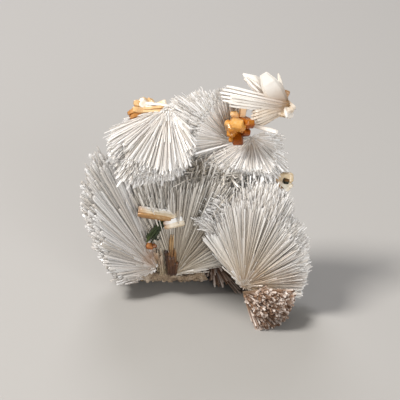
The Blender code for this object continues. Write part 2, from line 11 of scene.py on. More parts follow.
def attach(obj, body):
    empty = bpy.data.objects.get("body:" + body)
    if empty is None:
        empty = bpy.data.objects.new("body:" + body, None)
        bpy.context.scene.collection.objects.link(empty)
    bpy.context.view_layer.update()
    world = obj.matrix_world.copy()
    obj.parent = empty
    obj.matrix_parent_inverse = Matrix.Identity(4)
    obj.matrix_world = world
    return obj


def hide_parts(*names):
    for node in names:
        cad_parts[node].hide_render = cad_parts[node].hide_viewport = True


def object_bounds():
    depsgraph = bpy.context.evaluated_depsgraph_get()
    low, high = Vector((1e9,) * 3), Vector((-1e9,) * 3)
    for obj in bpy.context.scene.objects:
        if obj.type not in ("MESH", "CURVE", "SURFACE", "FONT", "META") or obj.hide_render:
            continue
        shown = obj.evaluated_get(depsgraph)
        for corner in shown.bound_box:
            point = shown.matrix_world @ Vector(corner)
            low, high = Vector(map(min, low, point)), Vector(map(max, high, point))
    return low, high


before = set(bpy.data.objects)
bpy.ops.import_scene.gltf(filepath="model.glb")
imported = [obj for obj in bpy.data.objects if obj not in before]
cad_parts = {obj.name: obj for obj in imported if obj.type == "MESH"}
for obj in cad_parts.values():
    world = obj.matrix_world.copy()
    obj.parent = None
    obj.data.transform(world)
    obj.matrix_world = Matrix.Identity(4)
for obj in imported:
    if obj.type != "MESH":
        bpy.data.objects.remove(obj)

mm = 0.001
partMiddle = Vector((0.905, 3.832, 0.0))  # the part's own numbers count from here, in mm
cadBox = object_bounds()


def at(x, y, z):  # a place in the part's own millimetres, as a point of the frame
    return (Vector((x, y, z)) - partMiddle) * mm


def linear(hexColour):  # sRGB hex to linear, opaque
    channels = [int(hexColour[i:i + 2], 16) / 255 for i in (1, 3, 5)]
    return tuple(c / 12.92 if c <= 0.04045 else ((c + 0.055) / 1.055) ** 2.4 for c in channels) + (1.0,)


def addNode(tree, kind, settings=None, links=None, values=None, stops=None):  # stops are a colour ramp's
    node = tree.nodes.new(kind)
    for key, value in (settings or {}).items():
        setattr(node, key, value)
    for key, value in (values or {}).items():
        node.inputs[key].default_value = value
    for key, source in (links or {}).items():
        tree.links.new(source, node.inputs[key])
    if stops:
        elements = node.color_ramp.elements
        while len(elements) < len(stops):
            elements.new(0.5)
        for element, (place, colour) in zip(elements, stops):
            element.position = place
            element.color = linear(colour)
    return node


def newObject(name, data):
    thing = bpy.data.objects.new(name, data)
    bpy.context.scene.collection.objects.link(thing)
    return thing


def newMaterial(name):
    made = bpy.data.materials.new(name)
    made.use_nodes = True
    return made, made.node_tree, made.node_tree.nodes["Principled BSDF"]


# Stage and camera
studio = {
    "floorColour": "#A3A19E",
    "floorRoughness": 0.8,
    "floorSize": 6.0,
    "target": at(1.95, 0.0, 33.2),
    "distance": 0.6,  # metres from the target
    "elevation": 24.0,  # degrees that the camera looks down
    "lens": 180.0,
    "sensor": 36.0,
    "lights": [  # name, place, size, power in watts, colour
        ("key", (-0.46, -0.16, 0.74), 0.30, 9.0, "#FFFBF6"),
        ("back", (-0.10, 0.70, 0.55), 0.40, 3.5, "#FBFAFF"),
        ("fill", (0.35, -0.85, 0.22), 0.60, 6.5, "#FFFFFF"),
    ],
    "worldColour": "#94928F",
    "worldStrength": 0.85,
}


def makeStudio():
    print("studio")
    bpy.ops.mesh.primitive_plane_add(size=studio["floorSize"])
    floor = bpy.context.object
    floor.name = "floor"
    made, tree, shader = newMaterial("matte paper sweep")
    shader.inputs["Base Color"].default_value = linear(studio["floorColour"])
    shader.inputs["Roughness"].default_value = studio["floorRoughness"]
    floor.data.materials.append(made)
    for name, place, size, power, colour in studio["lights"]:
        data = bpy.data.lights.new(name, "AREA")
        data.shape = "DISK"
        data.size = size
        data.energy = power
        data.color = linear(colour)[:3]
        lamp = newObject(name, data)
        lamp.location = place
        lamp.rotation_euler = (studio["target"] - Vector(place)).to_track_quat("-Z", "Y").to_euler()
    world = bpy.data.worlds.new("studio air")
    bpy.context.scene.world = world
    world.use_nodes = True
    background = world.node_tree.nodes["Background"]
    background.inputs["Color"].default_value = linear(studio["worldColour"])
    background.inputs["Strength"].default_value = studio["worldStrength"]
    lift = math.radians(studio["elevation"])
    data = bpy.data.cameras.new("camera")
    data.sensor_width = studio["sensor"]
    data.lens = studio["lens"]
    camera = newObject("camera", data)
    camera.location = studio["target"] + Vector((0.0, -math.cos(lift), math.sin(lift))) * studio["distance"]
    camera.rotation_euler = (studio["target"] - camera.location).to_track_quat("-Z", "Y").to_euler()
    bpy.context.scene.camera = camera
    bpy.context.scene.view_settings.view_transform = "Standard"


# Rust and stains on the needles, and painted shade in the hollow among the crossing needles and under the
# left fan: place in the part's mm, radius in mm, colour and strength
stainsAndPaintedShade = [
    ((3.6, -11.0, 22.5), 1.6, "#9A5A2A", 0.8),  # rust on the big fan's left corner
    ((6.4, -11.6, 21.6), 1.8, "#A9693A", 0.6),
    ((15.0, -9.5, 7.4), 2.2, "#A3602E", 0.8),  # rust at its root
    ((20.0, -11.0, 8.0), 8.0, "#D3B594", 0.7),  # tan along its foot
    ((29.5, -10.0, 12.0), 5.0, "#A08468", 0.7),  # brown ends at the right
    ((17.5, 3.0, 50.5), 4.5, "#C4AC8E", 0.6),  # tan root of the right fan
    ((11.0, 3.0, 53.5), 5.0, "#D2B48C", 0.6),  # warm root of the upper puff
    ((-12.6, 1.0, 13.0), 4.0, "#B07A48", 0.7),  # rust trail under the knob
    ((-7.0, -1.0, 11.0), 3.6, "#7A5334", 0.7),  # and round the column
    ((-18.0, 0.0, 5.5), 6.0, "#B09E8C", 0.5),  # painted shade: grey under the left fan
    ((24.0, -17.5, 2.5), 6.0, "#4A3628", 0.85),  # brown underside of the foot
    ((27.5, -12.5, 3.0), 4.5, "#5C4636", 0.8),
    ((2.0, 2.0, 42.0), 6.0, "#A8997A", 0.45),  # painted shade: olive in the hollow among the crossing needles, with the next
    ((10.0, 1.0, 41.0), 5.0, "#B3A58A", 0.4),
]


# Materials
whiteShades = [(0.0, "#DAD4CC"), (0.5, "#F4F1EE"), (1.0, "#FFFFFF")]  # from needle to needle
brownShades = [(0.0, "#5A4232"), (0.45, "#A0856F"), (1.0, "#FFFFFF")]

scoleciteLooks = {  # colours at a needle's root, along it and at its tip
    "glassy": {"name": "glassy scolecite", "colours": ("#C2B3A4", "#EFEBE8", "#FFFFFF"),
               "shades": whiteShades, "transmission": 0.40, "roughness": 0.14},
    "silky": {"name": "silky scolecite", "colours": ("#D2C2AF", "#F6F3F0", "#FFFFFF"),
              "shades": whiteShades, "transmission": 0.12, "roughness": 0.30},
    # darker khaki colours as painted shade, for the centre spray and the crust's splinters, which lie in
    # shadow
    "shaded": {"name": "khaki scolecite with painted shade", "colours": ("#AE9C80", "#E0D8CB", "#F8F6F2"),
               "shades": whiteShades, "transmission": 0.20, "roughness": 0.28},
    "beige": {"name": "beige rooted scolecite", "colours": ("#C9AE8A", "#ECE3D6", "#FFFFFF"),
              "shades": whiteShades, "transmission": 0.12, "roughness": 0.30},
    "stained": {"name": "brown stained scolecite", "colours": ("#46311F", "#80604A", "#EFE3DA"),
                "shades": brownShades, "transmission": 0.05, "roughness": 0.40},
}
scolecite = {
    "ior": 1.51,
    "bodyAt": 0.45,  # the share of the way to its tip at which a needle has its middle colour
    "raggedMm": 1.6,  # the size of the notches in the edge of a stain or painted shade
    "spotFades": (0.6, 1.5),  # where a stain or painted shade starts to fade and where it ends, as shares of its radius
}


def scoleciteMaterial(look):
    # Scolecite: colourless to white needles with a silky to glassy shine, stained near the rock, with painted
    # shade in the hollow among the crossing needles and under the left fan
    made, tree, shader = newMaterial(look["name"])
    along = addNode(tree, "ShaderNodeAttribute", {"attribute_name": "along"})
    tint = addNode(tree, "ShaderNodeAttribute", {"attribute_name": "tint"})
    body = addNode(tree, "ShaderNodeValToRGB", links={"Fac": along.outputs["Fac"]},
                   stops=list(zip((0.0, scolecite["bodyAt"], 1.0), look["colours"])))
    shade = addNode(tree, "ShaderNodeValToRGB", links={"Fac": tint.outputs["Fac"]}, stops=look["shades"])
    colour = addNode(tree, "ShaderNodeMix", {"data_type": "RGBA", "blend_type": "MULTIPLY"},
                     {6: body.outputs["Color"], 7: shade.outputs["Color"]}, {0: 1.0})
    place = addNode(tree, "ShaderNodeTexCoord").outputs["Object"]
    blotch = addNode(tree, "ShaderNodeTexNoise", links={"Vector": place},
                     values={"Scale": 1 / (scolecite["raggedMm"] * mm), "Detail": 4.0, "Roughness": 0.7})
    fadeStart, fadeEnd = scolecite["spotFades"]
    # each stain or painted shade blended in over a ragged edge
    for spot, radius, hexColour, strength in stainsAndPaintedShade:
        gap = addNode(tree, "ShaderNodeVectorMath", {"operation": "DISTANCE"}, {0: place}, {1: at(*spot)})
        ragged = addNode(tree, "ShaderNodeMath", {"operation": "MULTIPLY_ADD"},
                         {0: blotch.outputs["Fac"], 2: gap.outputs["Value"]}, {1: radius * mm})
        mask = addNode(tree, "ShaderNodeMapRange", links={"Value": ragged.outputs[0]},
                       values={"From Min": radius * fadeStart * mm, "From Max": radius * fadeEnd * mm,
                               "To Min": strength, "To Max": 0.0})
        colour = addNode(tree, "ShaderNodeMix", {"data_type": "RGBA"},
                         {0: mask.outputs[0], 6: colour.outputs[2]}, {7: linear(hexColour)})
    tree.links.new(colour.outputs[2], shader.inputs["Base Color"])
    shader.inputs["Roughness"].default_value = look["roughness"]
    shader.inputs["IOR"].default_value = scolecite["ior"]
    shader.inputs["Transmission Weight"].default_value = look["transmission"]
    return made


stilbiteGrain = {"sizeMm": 0.35, "strength": 0.3, "depthMm": 0.08}  # the fine relief of a crystal's faces


def crystalMaterial(look):
    # Colour by crystal, along it from its root, and from its under side to its upper one as painted shade and
    # painted highlight, over a fine grain
    made, tree, shader = newMaterial(look["name"])
    place = addNode(tree, "ShaderNodeTexCoord").outputs["Object"]
    along = addNode(tree, "ShaderNodeAttribute", {"attribute_name": "along"}).outputs["Fac"]
    tone = addNode(tree, "ShaderNodeAttribute", {"attribute_name": "tone"}).outputs["Fac"]
    side = addNode(tree, "ShaderNodeAttribute", {"attribute_name": "side"}).outputs["Fac"]
    patches = addNode(tree, "ShaderNodeTexNoise", links={"Vector": place},
                      values={"Scale": 1 / (look["patchMm"] * mm), "Detail": 4.0, "Roughness": 0.65})
    fine = addNode(tree, "ShaderNodeTexNoise", links={"Vector": place},
                   values={"Scale": 1 / (stilbiteGrain["sizeMm"] * mm), "Detail": 3.0, "Roughness": 0.6})
    wander = addNode(tree, "ShaderNodeMath", {"operation": "MULTIPLY_ADD"},
                     {0: patches.outputs["Fac"], 2: tone}, {1: look["patches"]})
    shifted = addNode(tree, "ShaderNodeMath", {"operation": "SUBTRACT"}, {0: wander.outputs[0]},
                      {1: look["patches"] / 2})
    # the upper side is painted lighter and the under side darker: painted highlight and painted shade
    lifted = addNode(tree, "ShaderNodeMath", {"operation": "MULTIPLY_ADD"}, {0: side, 2: shifted.outputs[0]},
                     {1: look["paintedTopLightUnderShade"]})
    level = addNode(tree, "ShaderNodeMath", {"operation": "SUBTRACT"}, {0: lifted.outputs[0]},
                    {1: look["paintedTopLightUnderShade"] / 2})
    body = addNode(tree, "ShaderNodeValToRGB", links={"Fac": level.outputs[0]}, stops=look["colours"])
    rootMask = addNode(tree, "ShaderNodeMapRange", links={"Value": along},
                       values={"From Min": 0.0, "From Max": look["rootShare"], "To Min": look["rootStain"],
                               "To Max": 0.0})
    rooted = addNode(tree, "ShaderNodeMix", {"data_type": "RGBA"},
                     {0: rootMask.outputs[0], 6: body.outputs["Color"]}, {7: linear(look["rootColour"])})
    tree.links.new(rooted.outputs[2], shader.inputs["Base Color"])
    bump = addNode(tree, "ShaderNodeBump", links={"Height": fine.outputs["Fac"]},
                   values={"Strength": stilbiteGrain["strength"],
                           "Distance": stilbiteGrain["depthMm"] * mm})
    tree.links.new(bump.outputs["Normal"], shader.inputs["Normal"])
    shader.inputs["Roughness"].default_value = look["roughness"]
    shader.inputs["IOR"].default_value = look["ior"]
    shader.inputs["Transmission Weight"].default_value = look["transmission"]
    return made


# Each look: the size of its patches, and how far they, the upper side and the root shift its colours, which
# run from the tone 0 of its darkest crystal to 1. The upper side is painted lighter and the under side
# darker: painted highlight and painted shade
crystalLooks = {
    # Pearly stilbite: white, its pearly lustre a painted highlight on the upper side, tan where the blades
    # spring from their root
    "pearly": {"name": "pearly stilbite", "patchMm": 3.0, "patches": 0.3, "paintedTopLightUnderShade": 0.1,
               "colours": [(0.0, "#9A6A38"), (0.3, "#BFA685"), (0.6, "#DDD3C6"), (1.0, "#F4F0EA")],
               "rootShare": 0.65, "rootStain": 1.0, "rootColour": "#8C6A44",
               "roughness": 0.28, "ior": 1.5, "transmission": 0.08},
    # Honey stilbite: glassy, from peach and bright honey to dark orange-brown
    "honey": {"name": "honey stilbite", "patchMm": 1.3, "patches": 0.55, "paintedTopLightUnderShade": 0.2,
              "colours": [(0.0, "#5E2706"), (0.25, "#A3530F"), (0.5, "#CC842C"), (0.75, "#EBB262"),
                          (1.0, "#F6D9B2")],
              "rootShare": 0.3, "rootStain": 0.4, "rootColour": "#8A4A14",
              "roughness": 0.16, "ior": 1.5, "transmission": 0.22},
    # Stilbite on the crest: orange-tan, with one white blade
    "crest": {"name": "orange-tan stilbite", "patchMm": 1.6, "patches": 0.5, "paintedTopLightUnderShade": 0.25,
              "colours": [(0.0, "#8C5226"), (0.3, "#C28A4C"), (0.6, "#DEBA88"), (0.85, "#FBF7F0")],
              "rootShare": 0.3, "rootStain": 0.3, "rootColour": "#B98A52",
              "roughness": 0.3, "ior": 1.5, "transmission": 0.08},
    # Cream stilbite: a painted white highlight on its upper face, painted orange-brown shade below,
    # orange-brown at its ends
    "cream": {"name": "cream stilbite", "patchMm": 2.2, "patches": 0.4, "paintedTopLightUnderShade": 0.2,
              "colours": [(0.0, "#80562E"), (0.3, "#AE8454"), (0.55, "#DCC49E"), (0.8, "#F6EEE0"),
                          (1.0, "#FFFFFF")],
              "rootShare": 0.35, "rootStain": 0.8, "rootColour": "#A1713C",
              "roughness": 0.26, "ior": 1.5, "transmission": 0.08},
    # Stilbite at the right edge: cream and tan with a dark green spot of celadonite
    "corner": {"name": "tan stilbite", "patchMm": 1.5, "patches": 0.4, "paintedTopLightUnderShade": 0.2,
               "colours": [(0.0, "#1F2310"), (0.25, "#8A5A20"), (0.55, "#D2B482"), (0.95, "#F6EFDF")],
               "rootShare": 0.5, "rootStain": 0.6, "rootColour": "#A8702E",
               "roughness": 0.35, "ior": 1.5, "transmission": 0.05},
    # Celadonite: dark green, dull to waxy
    "celadonite": {"name": "celadonite", "patchMm": 1.2, "patches": 0.6, "paintedTopLightUnderShade": 0.3,
                   "colours": [(0.0, "#0A0E05"), (0.5, "#1B260C"), (1.0, "#3F4E1E")],
                   "rootShare": 0.1, "rootStain": 0.2, "rootColour": "#2A2A12",
                   "roughness": 0.5, "ior": 1.5, "transmission": 0.0},
    # Iron-stained needles: amber above, dark red-brown at the foot
    "column": {"name": "iron stained needles", "patchMm": 1.5, "patches": 0.8, "paintedTopLightUnderShade": 0.1,
               "colours": [(0.0, "#2A170C"), (0.35, "#6A4526"), (0.7, "#A87E4C"), (1.0, "#D2B080")],
               "rootShare": 0.9, "rootStain": 1.0, "rootColour": "#3A2012",
               "roughness": 0.4, "ior": 1.5, "transmission": 0.05},
    # Iron oxide: rusty, from dark red-brown to amber
    "iron": {"name": "iron oxide", "patchMm": 1.2, "patches": 0.6, "paintedTopLightUnderShade": 0.1,
             "colours": [(0.0, "#240E06"), (0.3, "#5A3014"), (0.65, "#96592A"), (1.0, "#C08C50")],
             "rootShare": 0.3, "rootStain": 0.4, "rootColour": "#33170A",
             "roughness": 0.45, "ior": 1.5, "transmission": 0.0},
}


crustFinish = {
    "patchMm": 6.0, "grainMm": 0.8, "grainDepthMm": 0.4, "grainStrength": 0.8, "roughness": 0.85,
    "colours": [(0.3, "#4A382A"), (0.5, "#8C7862"), (0.7, "#C3B5A4")],
}


def crustMaterial():
    # Weathered basalt crust: dull, crumbly, beige to dark brown
    made, tree, shader = newMaterial("weathered basalt crust")
    place = addNode(tree, "ShaderNodeTexCoord").outputs["Object"]
    patches = addNode(tree, "ShaderNodeTexNoise", links={"Vector": place},
                      values={"Scale": 1 / (crustFinish["patchMm"] * mm), "Detail": 5.0, "Roughness": 0.7})
    colour = addNode(tree, "ShaderNodeValToRGB", links={"Fac": patches.outputs["Fac"]},
                     stops=crustFinish["colours"])
    tree.links.new(colour.outputs["Color"], shader.inputs["Base Color"])
    grains = addNode(tree, "ShaderNodeTexNoise", links={"Vector": place},
                     values={"Scale": 1 / (crustFinish["grainMm"] * mm), "Detail": 4.0})
    bump = addNode(tree, "ShaderNodeBump", links={"Height": grains.outputs["Fac"]},
                   values={"Strength": crustFinish["grainStrength"],
                           "Distance": crustFinish["grainDepthMm"] * mm})
    tree.links.new(bump.outputs["Normal"], shader.inputs["Normal"])
    shader.inputs["Roughness"].default_value = crustFinish["roughness"]
    return made


def makeMaterials():
    print("materials")
    return {
        **{key: scoleciteMaterial(look) for key, look in scoleciteLooks.items()},
        **{key: crystalMaterial(look) for key, look in crystalLooks.items()},
        "crust": crustMaterial(),
    }


# Growing things on points
def newTree(name, inputs):  # a Geometry Nodes tree with its named inputs and their defaults
    tree = bpy.data.node_groups.new(name, "GeometryNodeTree")
    newSocket = tree.interface.new_socket
    newSocket("Geometry", in_out="INPUT", socket_type="NodeSocketGeometry")
    for key, value in inputs.items():
        kind = "NodeSocketInt" if isinstance(value, int) else "NodeSocketFloat"
        newSocket(key, in_out="INPUT", socket_type=kind).default_value = value
    newSocket("Material", in_out="INPUT", socket_type="NodeSocketMaterial")
    newSocket("Geometry", in_out="OUTPUT", socket_type="NodeSocketGeometry")
    return tree, addNode(tree, "NodeGroupInput").outputs


def placeOnPoints(tree, start, piece, rotation, scale):  # ends a tree with a real piece on each point
    placed = addNode(tree, "GeometryNodeInstanceOnPoints",
                     links={"Points": start["Geometry"], "Instance": piece,
                            "Rotation": rotation, "Scale": scale})
    real = addNode(tree, "GeometryNodeRealizeInstances", links={"Geometry": placed.outputs[0]})
    dressed = addNode(tree, "GeometryNodeSetMaterial",
                      links={"Geometry": real.outputs[0], "Material": start["Material"]})
    addNode(tree, "NodeGroupOutput", links={0: dressed.outputs[0]})


def needleTree():  # one needle on each point: a slender prism with a low pyramid at its tip
    tree, start = newTree("needle spray", {"Sides": 4, "Shoulder": 0.975, "Root Girth": 0.55, "Flatness": 0.8,
                                           "Seed": 1})
    tipDepth = addNode(tree, "ShaderNodeMath", {"operation": "SUBTRACT"}, {1: start["Shoulder"]}, {0: 1.0})
    shank = addNode(tree, "GeometryNodeMeshCone", {"fill_type": "NONE"},
                    {"Vertices": start["Sides"], "Depth": start["Shoulder"],
                     "Radius Bottom": start["Root Girth"]},
                    {"Radius Top": 1.0})
    top = addNode(tree, "GeometryNodeMeshCone", {"fill_type": "NONE"},
                  {"Vertices": start["Sides"], "Depth": tipDepth.outputs[0]},
                  {"Radius Top": 0.0, "Radius Bottom": 1.0})
    lifted = addNode(tree, "ShaderNodeCombineXYZ", links={"Z": start["Shoulder"]})
    raised = addNode(tree, "GeometryNodeTransform",
                     links={"Geometry": top.outputs["Mesh"], "Translation": lifted.outputs[0]})
    both = addNode(tree, "GeometryNodeJoinGeometry")
    tree.links.new(raised.outputs[0], both.inputs[0])
    tree.links.new(shank.outputs["Mesh"], both.inputs[0])
    closed = addNode(tree, "GeometryNodeMergeByDistance", links={"Geometry": both.outputs[0]},
                     values={"Distance": 0.001})
    place = addNode(tree, "GeometryNodeInputPosition").outputs[0]
    height = addNode(tree, "ShaderNodeSeparateXYZ", links={0: place})
    needle = addNode(tree, "GeometryNodeStoreNamedAttribute", {"data_type": "FLOAT", "domain": "POINT"},
                     {"Geometry": closed.outputs[0], "Value": height.outputs["Z"]}, {"Name": "rise"})
    girth = addNode(tree, "GeometryNodeInputNamedAttribute", {"data_type": "FLOAT"}, values={"Name": "girth"})
    long = addNode(tree, "GeometryNodeInputNamedAttribute", {"data_type": "FLOAT"}, values={"Name": "long"})
    aim = addNode(tree, "GeometryNodeInputNamedAttribute", {"data_type": "FLOAT_VECTOR"},
                  values={"Name": "aim"})
    half = addNode(tree, "ShaderNodeMath", {"operation": "MULTIPLY"}, {0: girth.outputs[0]}, {1: 0.5})
    thin = addNode(tree, "ShaderNodeMath", {"operation": "MULTIPLY"},
                   {0: half.outputs[0], 1: start["Flatness"]})
    scale = addNode(tree, "ShaderNodeCombineXYZ",
                    links={"X": half.outputs[0], "Y": thin.outputs[0], "Z": long.outputs[0]})
    aimed = addNode(tree, "FunctionNodeAlignRotationToVector", {"axis": "Z"}, {"Vector": aim.outputs[0]})
    turn = addNode(tree, "FunctionNodeRandomValue", {"data_type": "FLOAT"},
                   {"Seed": start["Seed"]}, {2: 0.0, 3: math.tau})
    roll = addNode(tree, "FunctionNodeAxisAngleToRotation", links={"Angle": turn.outputs[1]},
                   values={"Axis": (0.0, 0.0, 1.0)})
    rolled = addNode(tree, "FunctionNodeRotateRotation", {"rotation_space": "LOCAL"},
                     {"Rotation": aimed.outputs[0], "Rotate By": roll.outputs[0]})
    placeOnPoints(tree, start, needle.outputs[0], rolled.outputs[0], scale.outputs[0])
    return tree


def grow(tree, source, settings):  # runs a tree on an object and gives the plain mesh
    modifier = source.modifiers.new("grow", "NODES")
    modifier.node_group = tree
    for item in tree.interface.items_tree:
        if item.in_out == "INPUT" and item.name in settings:
            modifier[item.identifier] = settings[item.name]
    evaluated = source.evaluated_get(bpy.context.evaluated_depsgraph_get())
    mesh = bpy.data.meshes.new_from_object(evaluated)
    source.modifiers.remove(modifier)
    return mesh


def mergedCorners(node):  # a CAD node's mesh with its loose triangles joined
    shape = bmesh.new()
    shape.from_mesh(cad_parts[node].data)
    weldMm = 0.002  # corners nearer than this are one
    bmesh.ops.remove_doubles(shape, verts=shape.verts, dist=weldMm * mm)
    return shape


def growOn(name, columns, tree, settings):  # grows a tree's piece on new points, which carry the columns
    mesh = bpy.data.meshes.new(name)
    places = columns.pop("place")
    mesh.vertices.add(len(places))
    mesh.vertices.foreach_set("co", places.astype(np.float32).ravel())
    for key, values in columns.items():
        kind, field = ("FLOAT_VECTOR", "vector") if values.ndim == 2 else ("FLOAT", "value")
        mesh.attributes.new(key, kind, "POINT").data.foreach_set(field, values.astype(np.float32).ravel())
    carrier = newObject(name, mesh)
    grown = grow(tree, carrier, settings)
    bpy.data.objects.remove(carrier)
    return grown


def unit(rows):  # rows of vectors, each brought to a length of one
    return rows / np.maximum(np.linalg.norm(rows, axis=1, keepdims=True), 1e-12)


# Needles
# The needles of a spray run out from its focus. domeEnds are where those of its rounded side end, as shares
# of their reach. Rods are the thick ones that stand out, as the places of their tips in the part's mm and
# their girth. Tufts are short needles at one place: the place, its radius, their way, its spread in degrees,
# their number, length and girth, and the stretch of the material's root-to-tip colours that they show
sprays = {
    "left_spray": {
        "focus": at(-11.5, 3.0, 9.1), "finish": "glassy", "slot": "scolecite",
        "needles": 4200, "girth": (0.45, 1.05), "sides": 6, "domeEnds": (0.80, 0.95),
        "rods": [(-31.3, 4.0, 46.7, 1.3), (-29.9, 4.0, 47.0, 1.1), (-32.7, 4.0, 41.9, 1.1),
                 (-33.9, 4.0, 36.4, 1.2), (-33.7, 3.0, 34.6, 1.1), (-33.7, 4.0, 32.4, 1.0),
                 (-33.6, 2.0, 27.4, 1.2), (-32.8, 1.0, 24.2, 1.1), (-30.1, 0.0, 18.1, 1.0),
                 (-28.0, 0.0, 12.8, 0.9), (-26.9, 2.0, 43.8, 1.1), (-24.0, 2.0, 45.2, 1.0),
                 (-31.8, -1.0, 30.2, 1.0), (-29.6, -1.0, 36.8, 1.1)],
        "tufts": [
            ((-16.8, 1.0, 7.2), 1.8, (-1.0, -0.2, -0.05), 10.0, 60, (3.0, 6.5), (0.6, 1.1), (0.4, 0.9))]},
    "upper_left_spray": {
        "focus": at(-7.5, 4.0, 61.5), "finish": "silky", "slot": "scolecite",
        "needles": 13000, "girth": (0.22, 0.48), "sides": 3, "domeEnds": (0.84, 0.97),
        "rods": [(-26.2, 0.0, 45.4, 0.9), (-25.4, 1.0, 47.0, 0.9), (-22.6, 2.0, 52.4, 0.7),
                 (-22.3, 4.0, 53.8, 0.7), (-22.9, -3.0, 38.6, 0.8), (-19.9, -4.0, 38.2, 0.8),
                 (-17.5, -4.0, 38.9, 0.9), (-13.4, -4.0, 40.4, 0.9), (-9.4, -3.0, 38.9, 1.0),
                 (-6.1, -3.0, 40.8, 0.9), (-3.1, -2.0, 41.9, 0.8), (-0.6, -1.0, 44.4, 0.7)]},
    "upper_middle_spray": {
        "focus": at(11.5, 7.0, 49.5), "finish": "silky", "slot": "scolecite",
        "needles": 12000, "girth": (0.18, 0.36), "sides": 3, "domeEnds": (0.86, 1.0),
        "rods": [(-4.6, 6.0, 63.4, 0.7), (-3.1, 6.0, 63.6, 0.7), (-1.0, 6.0, 62.4, 0.6),
                 (0.8, 6.0, 62.6, 0.6), (4.3, 7.0, 64.9, 0.5), (5.8, 7.0, 65.9, 0.5), (7.3, 7.0, 66.3, 0.5)]},
    "centre_spray": {
        "focus": at(-5.8, 2.0, 7.5), "finish": "shaded", "slot": "scolecite",
        "needles": 11000, "girth": (0.22, 0.50), "sides": 3, "domeEnds": (0.84, 1.0),
        "rods": [(3.7, -3.0, 46.6, 0.7), (5.6, -3.0, 46.6, 0.7), (6.9, -3.0, 46.1, 0.8),
                 (10.6, -3.0, 45.0, 1.0), (1.4, -2.0, 45.6, 0.6), (7.9, -1.0, 44.6, 0.7),
                 (9.2, -4.0, 43.0, 0.7), (12.2, -2.0, 42.8, 0.7)],
        "tufts": [
            # the first two tufts, in the shadowed hollow among the crossing needles, and the last, in the gap
            # by the column, show darker root colours: painted shade
            ((2.0, 0.5, 42.5), 4.2, (0.3, -0.6, 0.2), 80.0, 130, (2.5, 7.0), (0.24, 0.42), (0.3, 0.8)),
            ((9.5, 0.0, 41.5), 3.6, (-0.8, -0.5, 0.15), 70.0, 110, (3.0, 7.5), (0.24, 0.45), (0.4, 1.0)),
            ((14.5, 1.0, 41.5), 3.0, (-1.0, -0.4, 0.1), 40.0, 60, (4.0, 8.0), (0.3, 0.5), (0.7, 1.0)),
            ((-9.6, 3.0, 7.8), 1.6, (-0.05, -0.08, 1.0), 11.0, 150, (5.0, 9.5), (0.3, 0.55), (0.0, 0.3))]},
    "right_spray": {
        "focus": at(17.5, 7.0, 50.5), "finish": "silky", "slot": "scolecite",
        "needles": 10500, "girth": (0.22, 0.48), "sides": 3, "domeEnds": (0.84, 1.0),
        "rods": [(0.4, 0.0, 48.3, 0.7), (5.6, -2.0, 44.8, 0.6), (8.6, -2.6, 43.4, 0.6),
                 (18.0, -3.0, 41.4, 0.7), (21.0, -2.6, 40.6, 0.8), (23.2, -2.0, 40.0, 0.8),
                 (27.0, 0.0, 42.4, 0.8), (28.6, 2.0, 41.6, 0.7)],
        "tufts": [
            ((20.0, 0.5, 41.0), 3.6, (0.1, -0.5, -1.0), 30.0, 90, (3.0, 6.5), (0.3, 0.6), (0.7, 1.0))]},
    "lower_right_spray": {
        "focus": at(15.0, -7.5, 8.0), "finish": "beige", "slot": "scolecite",
        "needles": 19000, "girth": (0.20, 0.42), "sides": 3, "domeEnds": (0.90, 1.0),
        "rods": [(2.9, -6.6, 23.6, 0.8), (3.3, -6.8, 24.1, 0.7), (3.8, -6.8, 24.9, 0.6),
                 (2.8, -6.0, 23.0, 0.7), (14.4, -3.0, 42.6, 0.6), (17.0, -3.4, 42.8, 0.6),
                 (20.4, -3.4, 42.6, 0.6), (25.4, -3.0, 40.4, 0.6), (27.6, -4.0, 35.6, 0.7),
                 (28.6, -4.0, 33.6, 0.7), (33.9, -6.0, 27.0, 0.4)],
        "tufts": [
            ((11.0, -4.4, 31.0), 3.4, (-0.75, -0.15, 0.5), 22.0, 220, (4.0, 8.0), (0.25, 0.45), (0.8, 1.0)),
            ((6.0, -5.0, 26.5), 2.6, (-0.7, -0.1, 0.6), 22.0, 160, (3.0, 6.0), (0.25, 0.45), (0.8, 1.0))]},
    "foot_spray": {
        "focus": at(14.8, -11.8, 8.4), "finish": "stained", "slot": "stained_scolecite",
        "needles": 2200, "girth": (0.35, 0.85), "sides": 5, "domeEnds": (0.82, 1.0),
        "rods": [(28.6, -16.0, 4.6, 0.8), (29.0, -15.0, 6.6, 0.8), (28.0, -16.4, 2.4, 0.8),
                 (26.0, -17.6, 0.8, 0.8)],
        "tufts": [
            ((20.6, -18.4, 11.6), 1.6, (0.5, -0.8, 0.1), 40.0, 50, (1.4, 3.0), (0.6, 1.2), (0.8, 1.0)),
            ((24.8, -17.4, 10.6), 1.8, (0.8, -0.7, 0.0), 40.0, 60, (1.4, 3.2), (0.6, 1.2), (0.75, 1.0)),
            ((16.4, -16.4, 8.6), 1.2, (-0.1, -0.8, 0.0), 40.0, 34, (1.2, 2.2), (0.7, 1.2), (0.85, 1.0)),
            ((27.0, -15.6, 8.0), 1.6, (1.0, -0.5, -0.3), 26.0, 50, (1.6, 3.2), (0.4, 0.9), (0.6, 1.0))]},
    "back_left_spray": {
        "focus": at(-5.0, 10.5, 28.0), "finish": "silky", "slot": "scolecite",
        "needles": 7000, "girth": (0.32, 0.64), "sides": 3},
    "back_right_spray": {
        "focus": at(12.0, 7.0, 24.0), "finish": "silky", "slot": "scolecite",
        "needles": 6000, "girth": (0.32, 0.64), "sides": 3},
    "back_foot_spray": {
        "focus": at(6.0, 9.0, 9.0), "finish": "stained", "slot": "stained_scolecite",
        "needles": 2800, "girth": (0.40, 0.90), "sides": 4},
}

